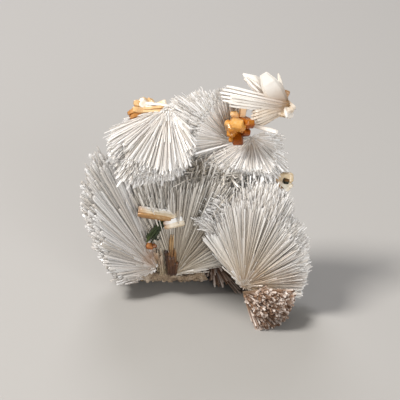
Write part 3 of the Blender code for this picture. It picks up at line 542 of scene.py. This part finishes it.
combing = {
    "firstSeed": 11,
    "heart": 0.78,  # the solid heart under the needles, as a share of the CAD spray
    "heartMiddle": 0.40,  # the heart is drawn in towards this share of the way out
    "heartShades": {"along": 0.6, "tint": 0.5},  # its place in the needles' colours
    "roots": (0.03, 0.45),  # where needles start, as shares of their reach
    "flankEnds": (0.88, 1.0),  # where needles of the fans' open sides end
    "domeEnds": (0.76, 0.88),  # where the others end, but for a few, if the spray doesn't say
    "endsOutward": 0.6,  # under 1, the ends crowd towards the further of the two
    "tall": 0.16,  # the share of those few, which reach the solid's tips
    "openSide": 0.25,  # a face with a corner this near the focus, as a share of the mean reach, is open side
    "splay": 0.03,  # how far rays are drawn towards the spray's middle
    "rimShare": 0.34,  # the share that fills each fan's open side from bundle tip to bundle tip
    "rimSectors": 22,  # its open side is followed in this many steps
    "rimGap": 0.95,  # bundle tips further apart than this, in radians, aren't bridged
    "rimDepth": 0.10,  # how far those needles lean in behind the side
    "rodRoot": 0.35,  # where the thick needles start
    "rodTint": 0.9,
    "tuftTint": (0.3, 1.0),
    "tuftLean": 0.55,  # how widely a tuft's needles lean within its spread
    "scatter": 3.0,  # how far rays lie off those of the solid, in degrees
    "stray": 0.6,  # how far needles lean off their ray, in degrees
    "wild": 0.03,  # the share that leans off much further
    "wildStray": 3.6,
    "stout": 0.08,  # the share that is thicker
    "stoutGirth": 1.5,
    "clump": 0.02,  # how far rays are drawn together at the bundle tips
    "sameWay": 0.006,  # how far one tip's reach is blended into the next, in radians squared
    "blend": 3,  # higher gives sharper changes between them
    "cutShare": 1.45,  # a needle that would pass the solid by more than this ends at it
    "rayStart": 0.1,  # metres from the focus, outside every spray
}


def reachOf(rays, tips):  # how far needles go along each ray: the nearest bundle tips' reach, blended
    lengths = np.linalg.norm(tips, axis=1)
    ways = tips / lengths[:, None]
    reach = np.empty(len(rays))
    batch = 2000
    for first in range(0, len(rays), batch):
        part = rays[first:first + batch]
        angles = np.arccos(np.clip(part @ ways.T, -1.0, 1.0))
        weights = (angles ** 2 + combing["sameWay"]) ** -combing["blend"]
        reach[first:first + batch] = (weights @ lengths) / weights.sum(axis=1)
    return reach


def skinRays(shape, corners, tips, settings, count, dice):  # needles through random points of the CAD's skin
    focus = np.array(settings["focus"])
    triangles = np.array([[corners[v.index] for v in f.verts] for f in shape.faces])
    sideA, sideB = triangles[:, 1] - triangles[:, 0], triangles[:, 2] - triangles[:, 0]
    areas = np.linalg.norm(np.cross(sideA, sideB), axis=1)
    nearness = np.linalg.norm(triangles - focus, axis=2).min(axis=1)
    opened = nearness < combing["openSide"] * np.linalg.norm(tips, axis=1).mean()
    chosen = dice.choice(len(triangles), count, p=areas / areas.sum())
    u, v = dice.random((2, count))
    flip = u + v > 1
    u[flip], v[flip] = 1 - u[flip], 1 - v[flip]
    spots = triangles[chosen, 0] + u[:, None] * sideA[chosen] + v[:, None] * sideB[chosen]
    rays = unit(unit(spots - focus) + combing["splay"] * unit(tips.mean(axis=0)[None, :]))
    nearest = np.array([np.argmax(unit(tips) @ ray) for ray in rays])
    rays = unit(rays + combing["clump"] * (unit(tips)[nearest] - rays))
    reach = reachOf(rays, tips)
    skin = BVHTree.FromBMesh(shape)
    kept = np.ones(count, bool)
    for i, ray in enumerate(rays):
        way = Vector(ray)
        hit = skin.ray_cast(settings["focus"] + way * combing["rayStart"], -way)[0]
        if hit is None:
            kept[i] = False
            continue
        depth = (hit - settings["focus"]).length
        if reach[i] > combing["cutShare"] * depth:
            reach[i] = depth
    return rays[kept], reach[kept], opened[chosen][kept]


def rimRays(tips, count, dice):  # needles between neighbouring tips round a fan's open side
    ways = unit(tips)
    axis = unit(ways.mean(axis=0)[None, :])[0]
    side = unit(np.cross(axis, (0.0, 0.3, 1.0))[None, :])[0]  # any two directions square to the axis do
    up = np.cross(side, axis)
    turns = np.arctan2(ways @ up, ways @ side)
    leans = np.arccos(np.clip(ways @ axis, -1.0, 1.0))
    sector = np.floor((turns / math.tau + 0.5) * combing["rimSectors"]).astype(int)
    edge = [max(np.flatnonzero(sector == k), key=lambda i: leans[i]) for k in np.unique(sector)]
    edge = sorted(edge, key=lambda i: turns[i])
    starts, ends = tips[edge], tips[edge[1:] + edge[:1]]
    wide = np.linalg.norm(unit(starts) - unit(ends), axis=1)
    wide[wide > combing["rimGap"]] = 0.0
    chosen = dice.choice(len(edge), count, p=wide / wide.sum())
    share = dice.random((count, 1))
    spots = starts[chosen] * (1 - share) + ends[chosen] * share
    inward = axis * dice.uniform(0.0, combing["rimDepth"], (count, 1))
    return unit(unit(spots) + inward), np.linalg.norm(spots, axis=1)


def tuftNeedles(tufts, dice):  # short needles grown about chosen places
    parts = []
    for place, radius, way, spread, count, long, girth, shade in tufts:
        outward = unit(dice.normal(0.0, 1.0, (count, 3))) * radius * mm
        spots = np.array(at(*place)) + outward * dice.random((count, 1))
        leans = math.tan(math.radians(spread)) * dice.normal(0.0, combing["tuftLean"], (count, 3))
        parts.append({"place": spots, "aim": unit(unit(np.array([way])) + leans),
                      "long": dice.uniform(*long, count) * mm, "girth": dice.uniform(*girth, count) * mm,
                      "tint": dice.uniform(*combing["tuftTint"], count),
                      "rootShare": np.full(count, shade[0]), "endShare": np.full(count, shade[1])})
    return parts


def rodNeedles(rods, focus):  # the thick needles that stand out, from near the focus to their tips
    ways = np.array([at(*rod[:3]) for rod in rods]) - focus
    start = combing["rodRoot"]
    return {"place": focus + ways * start, "aim": unit(ways),
            "long": np.linalg.norm(ways, axis=1) * (1 - start),
            "girth": np.array(rods)[:, 3] * mm, "tint": np.full(len(rods), combing["rodTint"]),
            "rootShare": np.full(len(rods), start), "endShare": np.ones(len(rods))}


def colourAlong(mesh):  # stores where each corner lies between root and tip, and drops what only shaped it
    columns = {}
    for key in ("rise", "rootShare", "endShare"):
        columns[key] = np.empty(len(mesh.vertices), np.float32)
        mesh.attributes[key].data.foreach_get("value", columns[key])
    rise, rootShare, endShare = columns.values()
    along = mesh.attributes.new("along", "FLOAT", "POINT")
    along.data.foreach_set("value", (rootShare + rise * (endShare - rootShare)).astype(np.float32))
    for key in ("rise", "rootShare", "endShare", "aim", "long", "girth"):
        mesh.attributes.remove(mesh.attributes[key])


def makeHeart(name, shape, middle, material):  # the CAD spray drawn in towards a point inside it
    for vert in shape.verts:
        vert.co = middle + (vert.co - middle) * combing["heart"]
    mesh = bpy.data.meshes.new(name)
    shape.to_mesh(mesh)
    mesh.materials.append(material)
    for key, value in combing["heartShades"].items():
        made = mesh.attributes.new(key, "FLOAT", "POINT")
        made.data.foreach_set("value", np.full(len(mesh.vertices), value, np.float32))
    return newObject(name, mesh)


def combSpray(name, settings, tree, materials, seed):  # dresses one CAD spray in needles, over a solid heart
    dice = np.random.default_rng(seed)
    shape = mergedCorners(name)
    shape.verts.ensure_lookup_table()
    focus = np.array(settings["focus"])
    corners = np.array([v.co for v in shape.verts])
    distance = np.linalg.norm(corners - focus, axis=1)
    peaks = [v.index for v in shape.verts
             if all(distance[v.index] > distance[e.other_vert(v).index] for e in v.link_edges)]
    tips = corners[peaks] - focus
    rimCount = int(settings["needles"] * combing["rimShare"])
    rays, reach, flank = skinRays(shape, corners, tips, settings, settings["needles"] - rimCount, dice)
    rimWays, rimReach = rimRays(tips, rimCount, dice)
    rays = np.concatenate((rays, rimWays))
    reach = np.concatenate((reach, rimReach))
    flank = np.concatenate((flank, np.ones(rimCount, bool)))
    count = len(rays)
    rays = unit(rays + dice.normal(0.0, math.radians(combing["scatter"]), (count, 3)))
    roots = dice.uniform(*combing["roots"], count)
    domeEnds = settings.get("domeEnds", combing["domeEnds"])
    low = np.where(flank, combing["flankEnds"][0], domeEnds[0])
    high = np.where(flank | (dice.random(count) < combing["tall"]), 1.0, domeEnds[1])
    ends = low + (high - low) * dice.random(count) ** combing["endsOutward"]
    lean = np.where(dice.random(count) < combing["wild"], combing["wildStray"], combing["stray"])
    aims = unit(rays + dice.normal(0.0, 1.0, (count, 3)) * np.radians(lean)[:, None])
    girth = dice.uniform(*settings["girth"], count) * mm
    columns = {
        "place": focus + rays * (roots * reach)[:, None],
        "aim": aims,
        "long": reach * (ends - roots),
        "girth": girth * np.where(dice.random(count) < combing["stout"], combing["stoutGirth"], 1.0),
        "tint": dice.random(count),
        "rootShare": roots,
        "endShare": ends,
    }
    extras = tuftNeedles(settings.get("tufts", []), dice)
    if "rods" in settings:
        extras.append(rodNeedles(settings["rods"], focus))
    for key, rows in columns.items():
        columns[key] = np.concatenate([rows] + [extra[key] for extra in extras])
    material = materials[settings["finish"]]
    mesh = growOn(name + "_roots", columns, tree,
                  {"Sides": settings["sides"], "Seed": seed, "Material": material})
    colourAlong(mesh)
    needles = newObject(name.replace("_spray", "_needles"), mesh)
    middle = settings["focus"] + Vector(tips.mean(axis=0)) * combing["heartMiddle"]
    heart = makeHeart(name + "_heart", shape, middle, material)
    shape.free()
    joinInto(needles, [heart])
    keepInBox(needles)
    finishPiece(needles, name)


# Each crystal: its root and its tip in the part's mm, its width and thickness in mm, the way its broad side
# looks, its width at the tip as a share, its tone among the finish's colours and the number of its laths.
# fan is the angle between a crystal's outer laths in degrees, and rise how much the tone changes across them;
# on the cream blades it paints the upper laths lighter and the lower ones darker, as painted highlight and
# painted shade
pearlyFan = {
    "slot": "pearly_stilbite", "finish": "pearly", "fan": 5.0,
    "crystals": [
        ((26.4, 6.0, 61.0), (20.3, 5.0, 72.2), 6.2, 1.8, (0.1, -1.0, 0.2), 0.40, 0.80, 1),
        ((26.8, 7.0, 61.0), (23.7, 6.6, 68.4), 4.6, 1.6, (0.3, -1.0, 0.3), 0.45, 0.70, 2),
        ((26.4, 7.0, 62.0), (28.0, 7.6, 65.4), 2.0, 1.6, (0.2, -1.0, 0.2), 0.70, 0.10, 1),
        ((17.0, 1.4, 57.0), (25.0, 0.6, 54.8), 1.4, 1.2, (0.0, -1.0, 0.3), 0.80, 0.80, 1),
        ((25.0, 8.0, 62.5), (14.4, 9.0, 70.4), 5.2, 1.6, (0.4, -1.0, 0.1), 0.10, 0.90, 1),
        ((24.0, 7.0, 62.0), (14.9, 8.0, 69.6), 3.4, 1.3, (-0.6, -0.7, -0.4), 0.10, 0.70, 2),
        ((28.2, 6.5, 61.5), (7.6, 3.0, 67.7), 2.4, 1.7, (0.0, -0.8, 0.6), 0.55, 0.95, 3),
        ((28.0, 5.0, 61.3), (6.6, 1.0, 66.9), 3.0, 1.8, (0.1, -0.9, 0.4), 0.60, 1.00, 4),
        ((27.6, 4.5, 60.8), (9.4, 0.2, 65.2), 3.0, 1.6, (0.0, -1.0, 0.2), 0.60, 0.75, 4),
        ((28.4, 5.5, 61.8), (16.4, 0.4, 59.4), 3.2, 1.6, (0.1, -1.0, 0.3), 0.55, 0.45, 4),
        ((28.2, 5.0, 61.2), (17.7, 1.2, 57.4), 3.0, 1.6, (0.2, -1.0, 0.0), 0.55, 0.40, 4),
        ((27.0, 6.0, 62.0), (29.6, 4.0, 60.0), 3.2, 1.6, (0.6, -0.8, 0.2), 0.60, 0.50, 3),
        ((27.2, 6.0, 62.0), (28.6, 3.0, 58.1), 3.4, 1.5, (0.7, -0.7, 0.0), 0.70, 0.75, 3),
        ((26.8, 6.0, 62.0), (26.0, 3.2, 58.4), 3.0, 1.5, (0.2, -1.0, 0.2), 0.60, 0.30, 3),
        ((26.6, 5.4, 59.6), (19.8, 3.2, 56.4), 1.8, 1.4, (0.0, -1.0, 0.3), 0.60, 0.05, 1),
        ((27.0, 6.5, 61.0), (25.5, 15.5, 67.5), 5.0, 1.7, (1.0, 0.3, 0.4), 0.45, 0.70, 3),
        ((27.0, 7.0, 61.5), (17.5, 15.0, 66.0), 4.6, 1.6, (0.4, 0.6, 0.7), 0.40, 0.80, 3),
        ((26.0, 6.5, 61.5), (27.6, 13.5, 61.0), 4.2, 1.6, (1.0, -0.3, 0.3), 0.50, 0.60, 3),
        ((26.8, 5.6, 60.6), (17.4, 2.2, 60.6), 3.2, 1.8, (0.0, -1.0, 0.2), 0.60, 0.50, 4),
    ],
}
honeyCluster = {
    "slot": "honey_stilbite", "finish": "honey", "fan": 4.0,
    "crystals": [
        ((13.2, 7.6, 56.3), (12.8, -3.6, 58.9), 4.6, 4.4, (0.2, 0.1, 1.0), 0.70, 0.66, 1),
        ((13.0, 7.0, 56.0), (11.2, -3.2, 57.2), 3.2, 3.6, (-0.2, 0.1, 1.0), 0.60, 0.55, 1),
        ((13.6, 7.0, 56.3), (14.4, -3.0, 57.6), 2.8, 3.4, (0.5, 0.1, 1.0), 0.60, 0.50, 1),
        ((10.9, 2.6, 54.8), (10.4, -1.2, 59.1), 2.6, 2.4, (-0.5, -1.0, 0.1), 0.60, 0.72, 1),
        ((14.0, 4.6, 56.8), (10.4, -1.6, 54.7), 2.8, 2.4, (-0.3, -0.3, 1.0), 0.60, 0.45, 1),
        ((14.2, 3.6, 56.8), (14.9, 1.8, 63.9), 2.3, 1.6, (0.1, -1.0, 0.0), 0.85, 0.98, 1),
        ((13.0, 3.6, 56.8), (11.8, 1.2, 60.9), 2.6, 1.8, (-0.2, -1.0, 0.2), 0.70, 0.85, 1),
        ((13.5, 4.1, 57.3), (17.2, -1.2, 57.5), 3.8, 3.4, (0.2, 0.0, 1.0), 0.60, 0.22, 1),
        ((13.5, 4.1, 56.3), (16.2, -0.6, 54.3), 3.0, 2.6, (0.4, -0.2, 1.0), 0.55, 0.12, 1),
        ((13.0, 4.1, 56.3), (13.2, -0.8, 51.1), 3.4, 2.8, (0.0, -1.0, 0.0), 0.80, 0.05, 1),
        ((13.0, 4.1, 55.3), (11.2, -0.2, 52.1), 2.4, 2.0, (-0.3, -1.0, 0.0), 0.70, 0.35, 1),
    ],
}
crestCluster = {
    "slot": "cream_stilbite", "finish": "crest", "fan": 8.0,
    "crystals": [
        ((-11.5, 6.0, 60.0), (-18.4, 4.0, 62.0), 3.6, 2.8, (0.0, -0.9, 0.5), 0.60, 0.45, 2),
        ((-12.5, 6.0, 59.8), (-16.2, 5.0, 63.2), 3.2, 2.4, (0.2, -1.0, 0.3), 0.55, 0.65, 1),
        ((-13.0, 6.0, 59.5), (-19.6, 3.0, 59.0), 2.8, 2.6, (0.0, -0.7, 0.7), 0.60, 0.10, 2),
        ((-12.0, 6.5, 59.8), (-13.4, 5.4, 62.6), 3.0, 2.2, (0.0, -1.0, 0.3), 0.60, 0.60, 1),
        ((-7.0, 5.0, 61.2), (-14.6, 4.6, 62.0), 1.5, 2.4, (0.0, -1.0, 0.4), 0.50, 1.00, 2),
        ((-12.0, 6.2, 60.6), (-7.8, 6.2, 62.2), 2.2, 1.8, (0.0, -1.0, 0.2), 0.80, 0.60, 1),
        ((-15.5, 4.4, 60.2), (-8.4, 3.2, 61.2), 1.8, 1.8, (0.0, -0.8, 0.6), 0.50, 0.40, 2),
        ((-12.0, 7.0, 60.0), (-14.5, 12.5, 61.0), 3.2, 2.2, (0.3, 0.4, 0.9), 0.50, 0.50, 2),
    ],
}
creamBlades = {
    # rise paints the upper laths lighter and the lower ones darker: painted highlight and painted shade
    "slot": "cream_stilbite", "finish": "cream", "fan": 2.0, "rise": -0.75,
    "crystals": [
        ((-16.6, -1.9, 30.3), (-5.4, -2.3, 28.7), 3.2, 2.6, (0.0, -0.6, 0.8), 0.60, 0.55, 4),
        ((-8.8, -2.7, 25.9), (-2.6, -2.1, 27.5), 2.8, 2.2, (0.2, -0.8, 0.6), 0.80, 0.80, 2),
        ((-6.6, -1.7, 27.7), (-3.6, -1.3, 30.5), 2.4, 2.0, (0.2, -1.0, 0.2), 0.70, 0.60, 1),
        ((-9.6, 4.8, 27.1), (-9.4, -2.1, 27.7), 2.6, 2.2, (0.0, 0.0, 1.0), 0.70, 0.45, 1),
    ],
}
celadoniteStem = {
    "slot": "celadonite", "finish": "celadonite", "fan": 6.0,
    "crystals": [
        ((-9.0, -1.9, 27.1), (-13.9, 1.1, 18.9), 2.3, 2.0, (-0.4, -1.0, 0.0), 0.40, 0.45, 3),
        ((-10.6, -0.9, 24.6), (-14.4, 1.0, 18.7), 1.3, 1.4, (-0.7, -0.8, 0.1), 0.40, 0.85, 1),
        ((-13.6, 5.8, 19.2), (-13.4, 0.9, 20.5), 2.0, 1.8, (0.0, 0.0, 1.0), 0.60, 0.40, 1),
        ((-8.8, 3.3, 22.3), (-11.2, -0.1, 20.1), 1.8, 1.2, (-0.2, -1.0, 0.3), 0.50, 0.20, 1),
        ((-12.8, 2.3, 20.7), (-10.8, 0.7, 20.3), 1.8, 1.4, (0.0, -1.0, 0.2), 0.60, 0.60, 1),
    ],
}
ironKnob = {
    "slot": "iron_stain", "finish": "iron", "fan": 12.0,
    "crystals": [
        ((-13.0, 6.7, 16.5), (-13.4, 0.9, 16.9), 2.6, 2.2, (0.1, 0.0, 1.0), 0.70, 0.70, 1),
        ((-12.6, 6.2, 16.3), (-11.8, 0.9, 17.5), 1.8, 1.6, (-0.1, 0.1, 1.0), 0.60, 0.50, 1),
    ],
}
ironColumn = {
    "slot": "iron_stain", "finish": "column", "fan": 3.0, "rise": 0.2,
    "crystals": [
        ((-7.3, 1.5, 7.6), (-6.7, -0.2, 19.6), 1.6, 2.0, (0.0, -1.0, 0.0), 0.40, 0.40, 2),
        ((-6.3, 1.5, 7.6), (-7.1, 0.2, 15.4), 2.0, 2.2, (0.3, -1.0, 0.0), 0.60, 0.15, 2),
        ((-6.9, 1.2, 13.0), (-6.4, -2.0, 23.3), 1.1, 1.2, (0.1, -1.0, 0.0), 0.30, 0.80, 2),
        ((-7.2, 1.2, 12.4), (-7.2, -1.0, 21.2), 0.8, 1.0, (-0.2, -1.0, 0.0), 0.30, 0.60, 1),
        ((-7.6, 1.4, 9.5), (-8.4, -0.2, 16.6), 1.2, 1.2, (0.0, -1.0, 0.0), 0.50, 0.02, 1),
        ((-5.9, 1.2, 9.0), (-5.5, -0.3, 17.4), 1.1, 1.2, (0.1, -1.0, 0.0), 0.40, 0.50, 1),
        ((-6.0, 1.0, 8.0), (-5.4, 0.4, 12.8), 1.6, 1.6, (0.2, -1.0, 0.0), 0.50, 0.10, 2),
    ],
}
cornerCrystals = {
    "slot": "cream_stilbite", "finish": "corner", "fan": 6.0,
    "crystals": [
        ((24.6, 5.0, 38.6), (30.3, 3.6, 38.9), 3.2, 2.2, (0.0, -1.0, 0.3), 0.60, 0.60, 1),
        ((25.6, 5.0, 38.4), (29.4, 3.0, 35.3), 2.8, 2.0, (0.2, -1.0, 0.1), 0.60, 0.75, 2),
        ((25.4, 5.0, 38.0), (26.8, 3.2, 35.4), 2.0, 1.6, (0.0, -1.0, 0.0), 0.60, 0.30, 1),
        ((27.2, 4.4, 38.2), (28.1, 2.0, 38.3), 1.9, 1.7, (0.2, 0.2, 1.0), 0.80, -0.40, 1),
    ],
}


lathShape = {  # places along a lath, with shares of its width and thickness there
    "corners": ((-1, 0), (-0.7, -1), (0.7, -1), (1, 0), (0.7, 1), (-0.7, 1)),  # its section, six-sided
    "foot": ((0.0, 0.55, 0.7), (0.10, 0.85, 0.95)),
    "bladeTip": 0.5,  # a tip narrower than this makes a blade
    "bladeShoulder": 0.45,  # blades narrow early
    "rodShoulder": 0.84,  # and rods near their tips
    "taper": (0.4, 0.85),  # how full it stays half way from there, at least
    "tipThickness": 0.3,
}
sheafShape = {
    "outerStep": 0.16,  # how much shorter the laths are towards the crystal's edges
    "unevenEnd": 0.06,
    "unevenFace": 0.12,  # how far laths lie above or below each other, as a share of the thickness
    "unevenTone": 0.07,
    "closeness": 0.82,
    "overlap": 1.25,  # a lath's width as a share of its room, where there are several
    "thinning": (0.78, 0.98),
}


def lath(shape, layers, start, end, across, flat, width, thickness, tipShare, tone):  # a flat crystal
    rings = []
    shoulder = lathShape["bladeShoulder"] if tipShare < lathShape["bladeTip"] else lathShape["rodShoulder"]
    fullness, taperThickness = lathShape["taper"]
    bulge = fullness + (1 - fullness) * (tipShare + 1) / 2
    stations = (*lathShape["foot"], (shoulder, 1.0, 1.0), ((1 + shoulder) / 2, bulge, taperThickness),
                (1.0, tipShare, lathShape["tipThickness"]))
    for place, wide, thick in stations:
        centre = start.lerp(end, place)
        halfWidth = across * (width / 2 * wide)
        halfFlat = flat * (thickness / 2 * thick)
        ring = []
        for turn, lift in lathShape["corners"]:
            corner = shape.verts.new(centre + halfWidth * turn + halfFlat * lift)
            corner[layers[0]] = place
            corner[layers[1]] = tone
            # side runs from the under face to the upper one, for the painted shade below and the painted
            # highlight on top
            corner[layers[2]] = (lift + 1) / 2
            ring.append(corner)
        rings.append(ring)
    for lower, upper in zip(rings, rings[1:]):
        for i in range(6):
            j = (i + 1) % 6
            shape.faces.new((lower[i], lower[j], upper[j], upper[i]))
    shape.faces.new(rings[0][::-1])
    shape.faces.new(rings[-1])


def around(dice, spread):
    return dice.uniform(-spread, spread)


def sheaf(node, settings, materials):  # each crystal of a cluster as a row of laths with stepped tips
    dice = random.Random(node)
    shape = bmesh.new()
    layers = [shape.verts.layers.float.new(key) for key in ("along", "tone", "side")]
    for root, tip, width, thickness, facing, tipShare, tone, count in settings["crystals"]:
        start, end = at(*root), at(*tip)
        way = (end - start).normalized()
        flat = Vector(facing)
        flat = (flat - way * flat.dot(way)).normalized()
        across = way.cross(flat)
        lathWidth = width / count * (sheafShape["overlap"] if count > 1 else 1.0)
        for i in range(count):
            offset = (i + 0.5) / count - 0.5  # from -0.5 to 0.5 across the crystal
            lean = math.radians(settings["fan"]) * offset
            reach = 1 - abs(offset) * sheafShape["outerStep"] - dice.uniform(0.0, sheafShape["unevenEnd"])
            drop = around(dice, sheafShape["unevenFace"]) * thickness
            base = start + (across * (offset * width) * sheafShape["closeness"] + flat * drop) * mm
            far = base + (way + across * lean).normalized() * (end - start).length * reach
            lathThickness = thickness * dice.uniform(*sheafShape["thinning"])
            # rise: on the cream blades the upper laths painted lighter and the lower ones darker, as painted
            # highlight and painted shade
            shade = tone + offset * settings.get("rise", 0.0) + around(dice, sheafShape["unevenTone"])
            lath(shape, layers, base, far, across, flat, lathWidth * mm, lathThickness * mm, tipShare,
                 min(1.0, max(0.0, shade)))
    bmesh.ops.recalc_face_normals(shape, faces=shape.faces)
    mesh = bpy.data.meshes.new(node)
    shape.to_mesh(mesh)
    shape.free()
    mesh.materials.append(materials[settings["finish"]])
    thing = newObject(node.replace("_stilbite", "") + "_laths", mesh)
    keepInBox(thing)
    finishPiece(thing, node)


def joinInto(target, others):  # the others become part of the target
    bpy.ops.object.select_all(action="DESELECT")
    for thing in [target] + others:
        thing.select_set(True)
    bpy.context.view_layer.objects.active = target
    bpy.ops.object.join()


def keepInBox(thing):  # nothing stands proud of the CAD's box
    low, high = cadBox
    places = np.empty(len(thing.data.vertices) * 3, np.float32)
    thing.data.vertices.foreach_get("co", places)
    places = np.clip(places.reshape(-1, 3), np.array(low), np.array(high))
    thing.data.vertices.foreach_set("co", places.ravel())
    thing.data.update()


def finishPiece(thing, node):  # the finished mesh takes the place of its CAD node
    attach(thing, "root")
    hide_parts(node)
    print("  ", thing.name, len(thing.data.polygons), "faces")


crustShape = {
    "seed": 5,
    "cuts": 3,  # how finely the CAD crust's faces are split
    "waves": ((0.55, 5.0), (0.40, 2.0), (0.30, 0.8)),  # height and size of its lumps, in mm
    "sinkMm": 0.25,  # how far the whole skin is drawn in, to keep the lumps in the CAD crust
    "footMm": 0.05,  # what lies lower than this stays flat, where it stands on the table
    "dents": (-0.16, 0.12),  # how rough a crumb is, as shares of its size
    "depthMm": 0.15,  # how deep crumbs and splinters sit
    "looseSeed": 3,
    "loose": {
        "crust_crumbs": {"count": 900, "sizeMm": (0.35, 1.5), "stretch": 1.0, "finish": "crust"},
        "crust_splinters": {"count": 260, "sizeMm": (0.25, 0.5), "stretch": 5.0, "finish": "shaded"},
    },
}


def crumbTree():  # one rough little block on each point
    tree, start = newTree("crumbs", {"Stretch": 1.0, "Seed": 1})
    ball = addNode(tree, "GeometryNodeMeshIcoSphere", values={"Radius": 0.5, "Subdivisions": 2})
    rough = addNode(tree, "FunctionNodeRandomValue", {"data_type": "FLOAT"}, {"Seed": start["Seed"]},
                    {2: crustShape["dents"][0], 3: crustShape["dents"][1]})
    normal = addNode(tree, "GeometryNodeInputNormal")
    push = addNode(tree, "ShaderNodeVectorMath", {"operation": "SCALE"},
                   {0: normal.outputs[0], "Scale": rough.outputs[1]})
    lump = addNode(tree, "GeometryNodeSetPosition",
                   links={"Geometry": ball.outputs["Mesh"], "Offset": push.outputs[0]})
    size = addNode(tree, "GeometryNodeInputNamedAttribute", {"data_type": "FLOAT"}, values={"Name": "size"})
    tall = addNode(tree, "ShaderNodeMath", {"operation": "MULTIPLY"},
                   {0: size.outputs[0], 1: start["Stretch"]})
    scale = addNode(tree, "ShaderNodeCombineXYZ",
                    links={"X": size.outputs[0], "Y": size.outputs[0], "Z": tall.outputs[0]})
    turn = addNode(tree, "FunctionNodeRandomValue", {"data_type": "FLOAT_VECTOR"}, {"Seed": start["Seed"]},
                   {0: (0.0, 0.0, 0.0), 1: (math.tau, math.tau, math.tau)})
    spin = addNode(tree, "FunctionNodeEulerToRotation", links={"Euler": turn.outputs[0]})
    placeOnPoints(tree, start, lump.outputs[0], spin.outputs[0], scale.outputs[0])
    return tree


def scattered(shape, count, dice, inset):  # random points a little under a surface
    shape.faces.ensure_lookup_table()
    areas = np.array([f.calc_area() for f in shape.faces])
    triangles = [[v.co.copy() for v in f.verts[:3]] for f in shape.faces]
    normals = [f.normal.copy() for f in shape.faces]
    places = []
    for i in dice.choice(len(areas), count, p=areas / areas.sum()):
        a, b, c = triangles[i]
        u, v = sorted(dice.random(2))
        places.append(a * u + b * (v - u) + c * (1 - v) - normals[i] * inset)
    return np.array(places)


def makeCrust(materials):
    dice = np.random.default_rng(crustShape["seed"])
    shape = mergedCorners("crust")
    bmesh.ops.triangulate(shape, faces=shape.faces)
    bmesh.ops.subdivide_edges(shape, edges=shape.edges, cuts=crustShape["cuts"], use_grid_fill=True)
    bmesh.ops.triangulate(shape, faces=shape.faces)
    shape.normal_update()
    for vert in shape.verts:
        if vert.co.z > crustShape["footMm"] * mm:
            lump = sum(height * noise.noise(vert.co / (size * mm)) for height, size in crustShape["waves"])
            vert.co += vert.normal * (lump - crustShape["sinkMm"]) * mm
    shape.normal_update()
    mesh = bpy.data.meshes.new("crust_body")
    shape.to_mesh(mesh)
    mesh.materials.append(materials["crust"])
    body = newObject("crust_body", mesh)
    tree = crumbTree()
    extras = []
    for name, kind in crustShape["loose"].items():
        smallest, largest = kind["sizeMm"]
        columns = {"place": scattered(shape, kind["count"], dice, crustShape["depthMm"] * mm),
                   "size": smallest * mm + (largest - smallest) * mm * dice.random(kind["count"]) ** 2}
        grown = growOn(name, columns, tree,
                       {"Stretch": kind["stretch"], "Seed": crustShape["looseSeed"],
                        "Material": materials[kind["finish"]]})
        extras.append(newObject(name, grown))
    shape.free()
    joinInto(body, extras)
    keepInBox(body)
    finishPiece(body, "crust")


makeStudio()
materials = makeMaterials()
print("needle sprays")
needles = needleTree()
for seed, (name, settings) in enumerate(sprays.items(), combing["firstSeed"]):
    combSpray(name, settings, needles, materials, seed)
print("crystals")
for node, settings in (("pearly_stilbite_fan", pearlyFan), ("honey_stilbite_cluster", honeyCluster),
                       ("crest_stilbite_cluster", crestCluster), ("cream_stilbite_blades", creamBlades),
                       ("corner_stilbite", cornerCrystals), ("celadonite_stem", celadoniteStem),
                       ("iron_stained_knob", ironKnob), ("iron_stained_column", ironColumn)):
    sheaf(node, settings, materials)
print("crust")
makeCrust(materials)
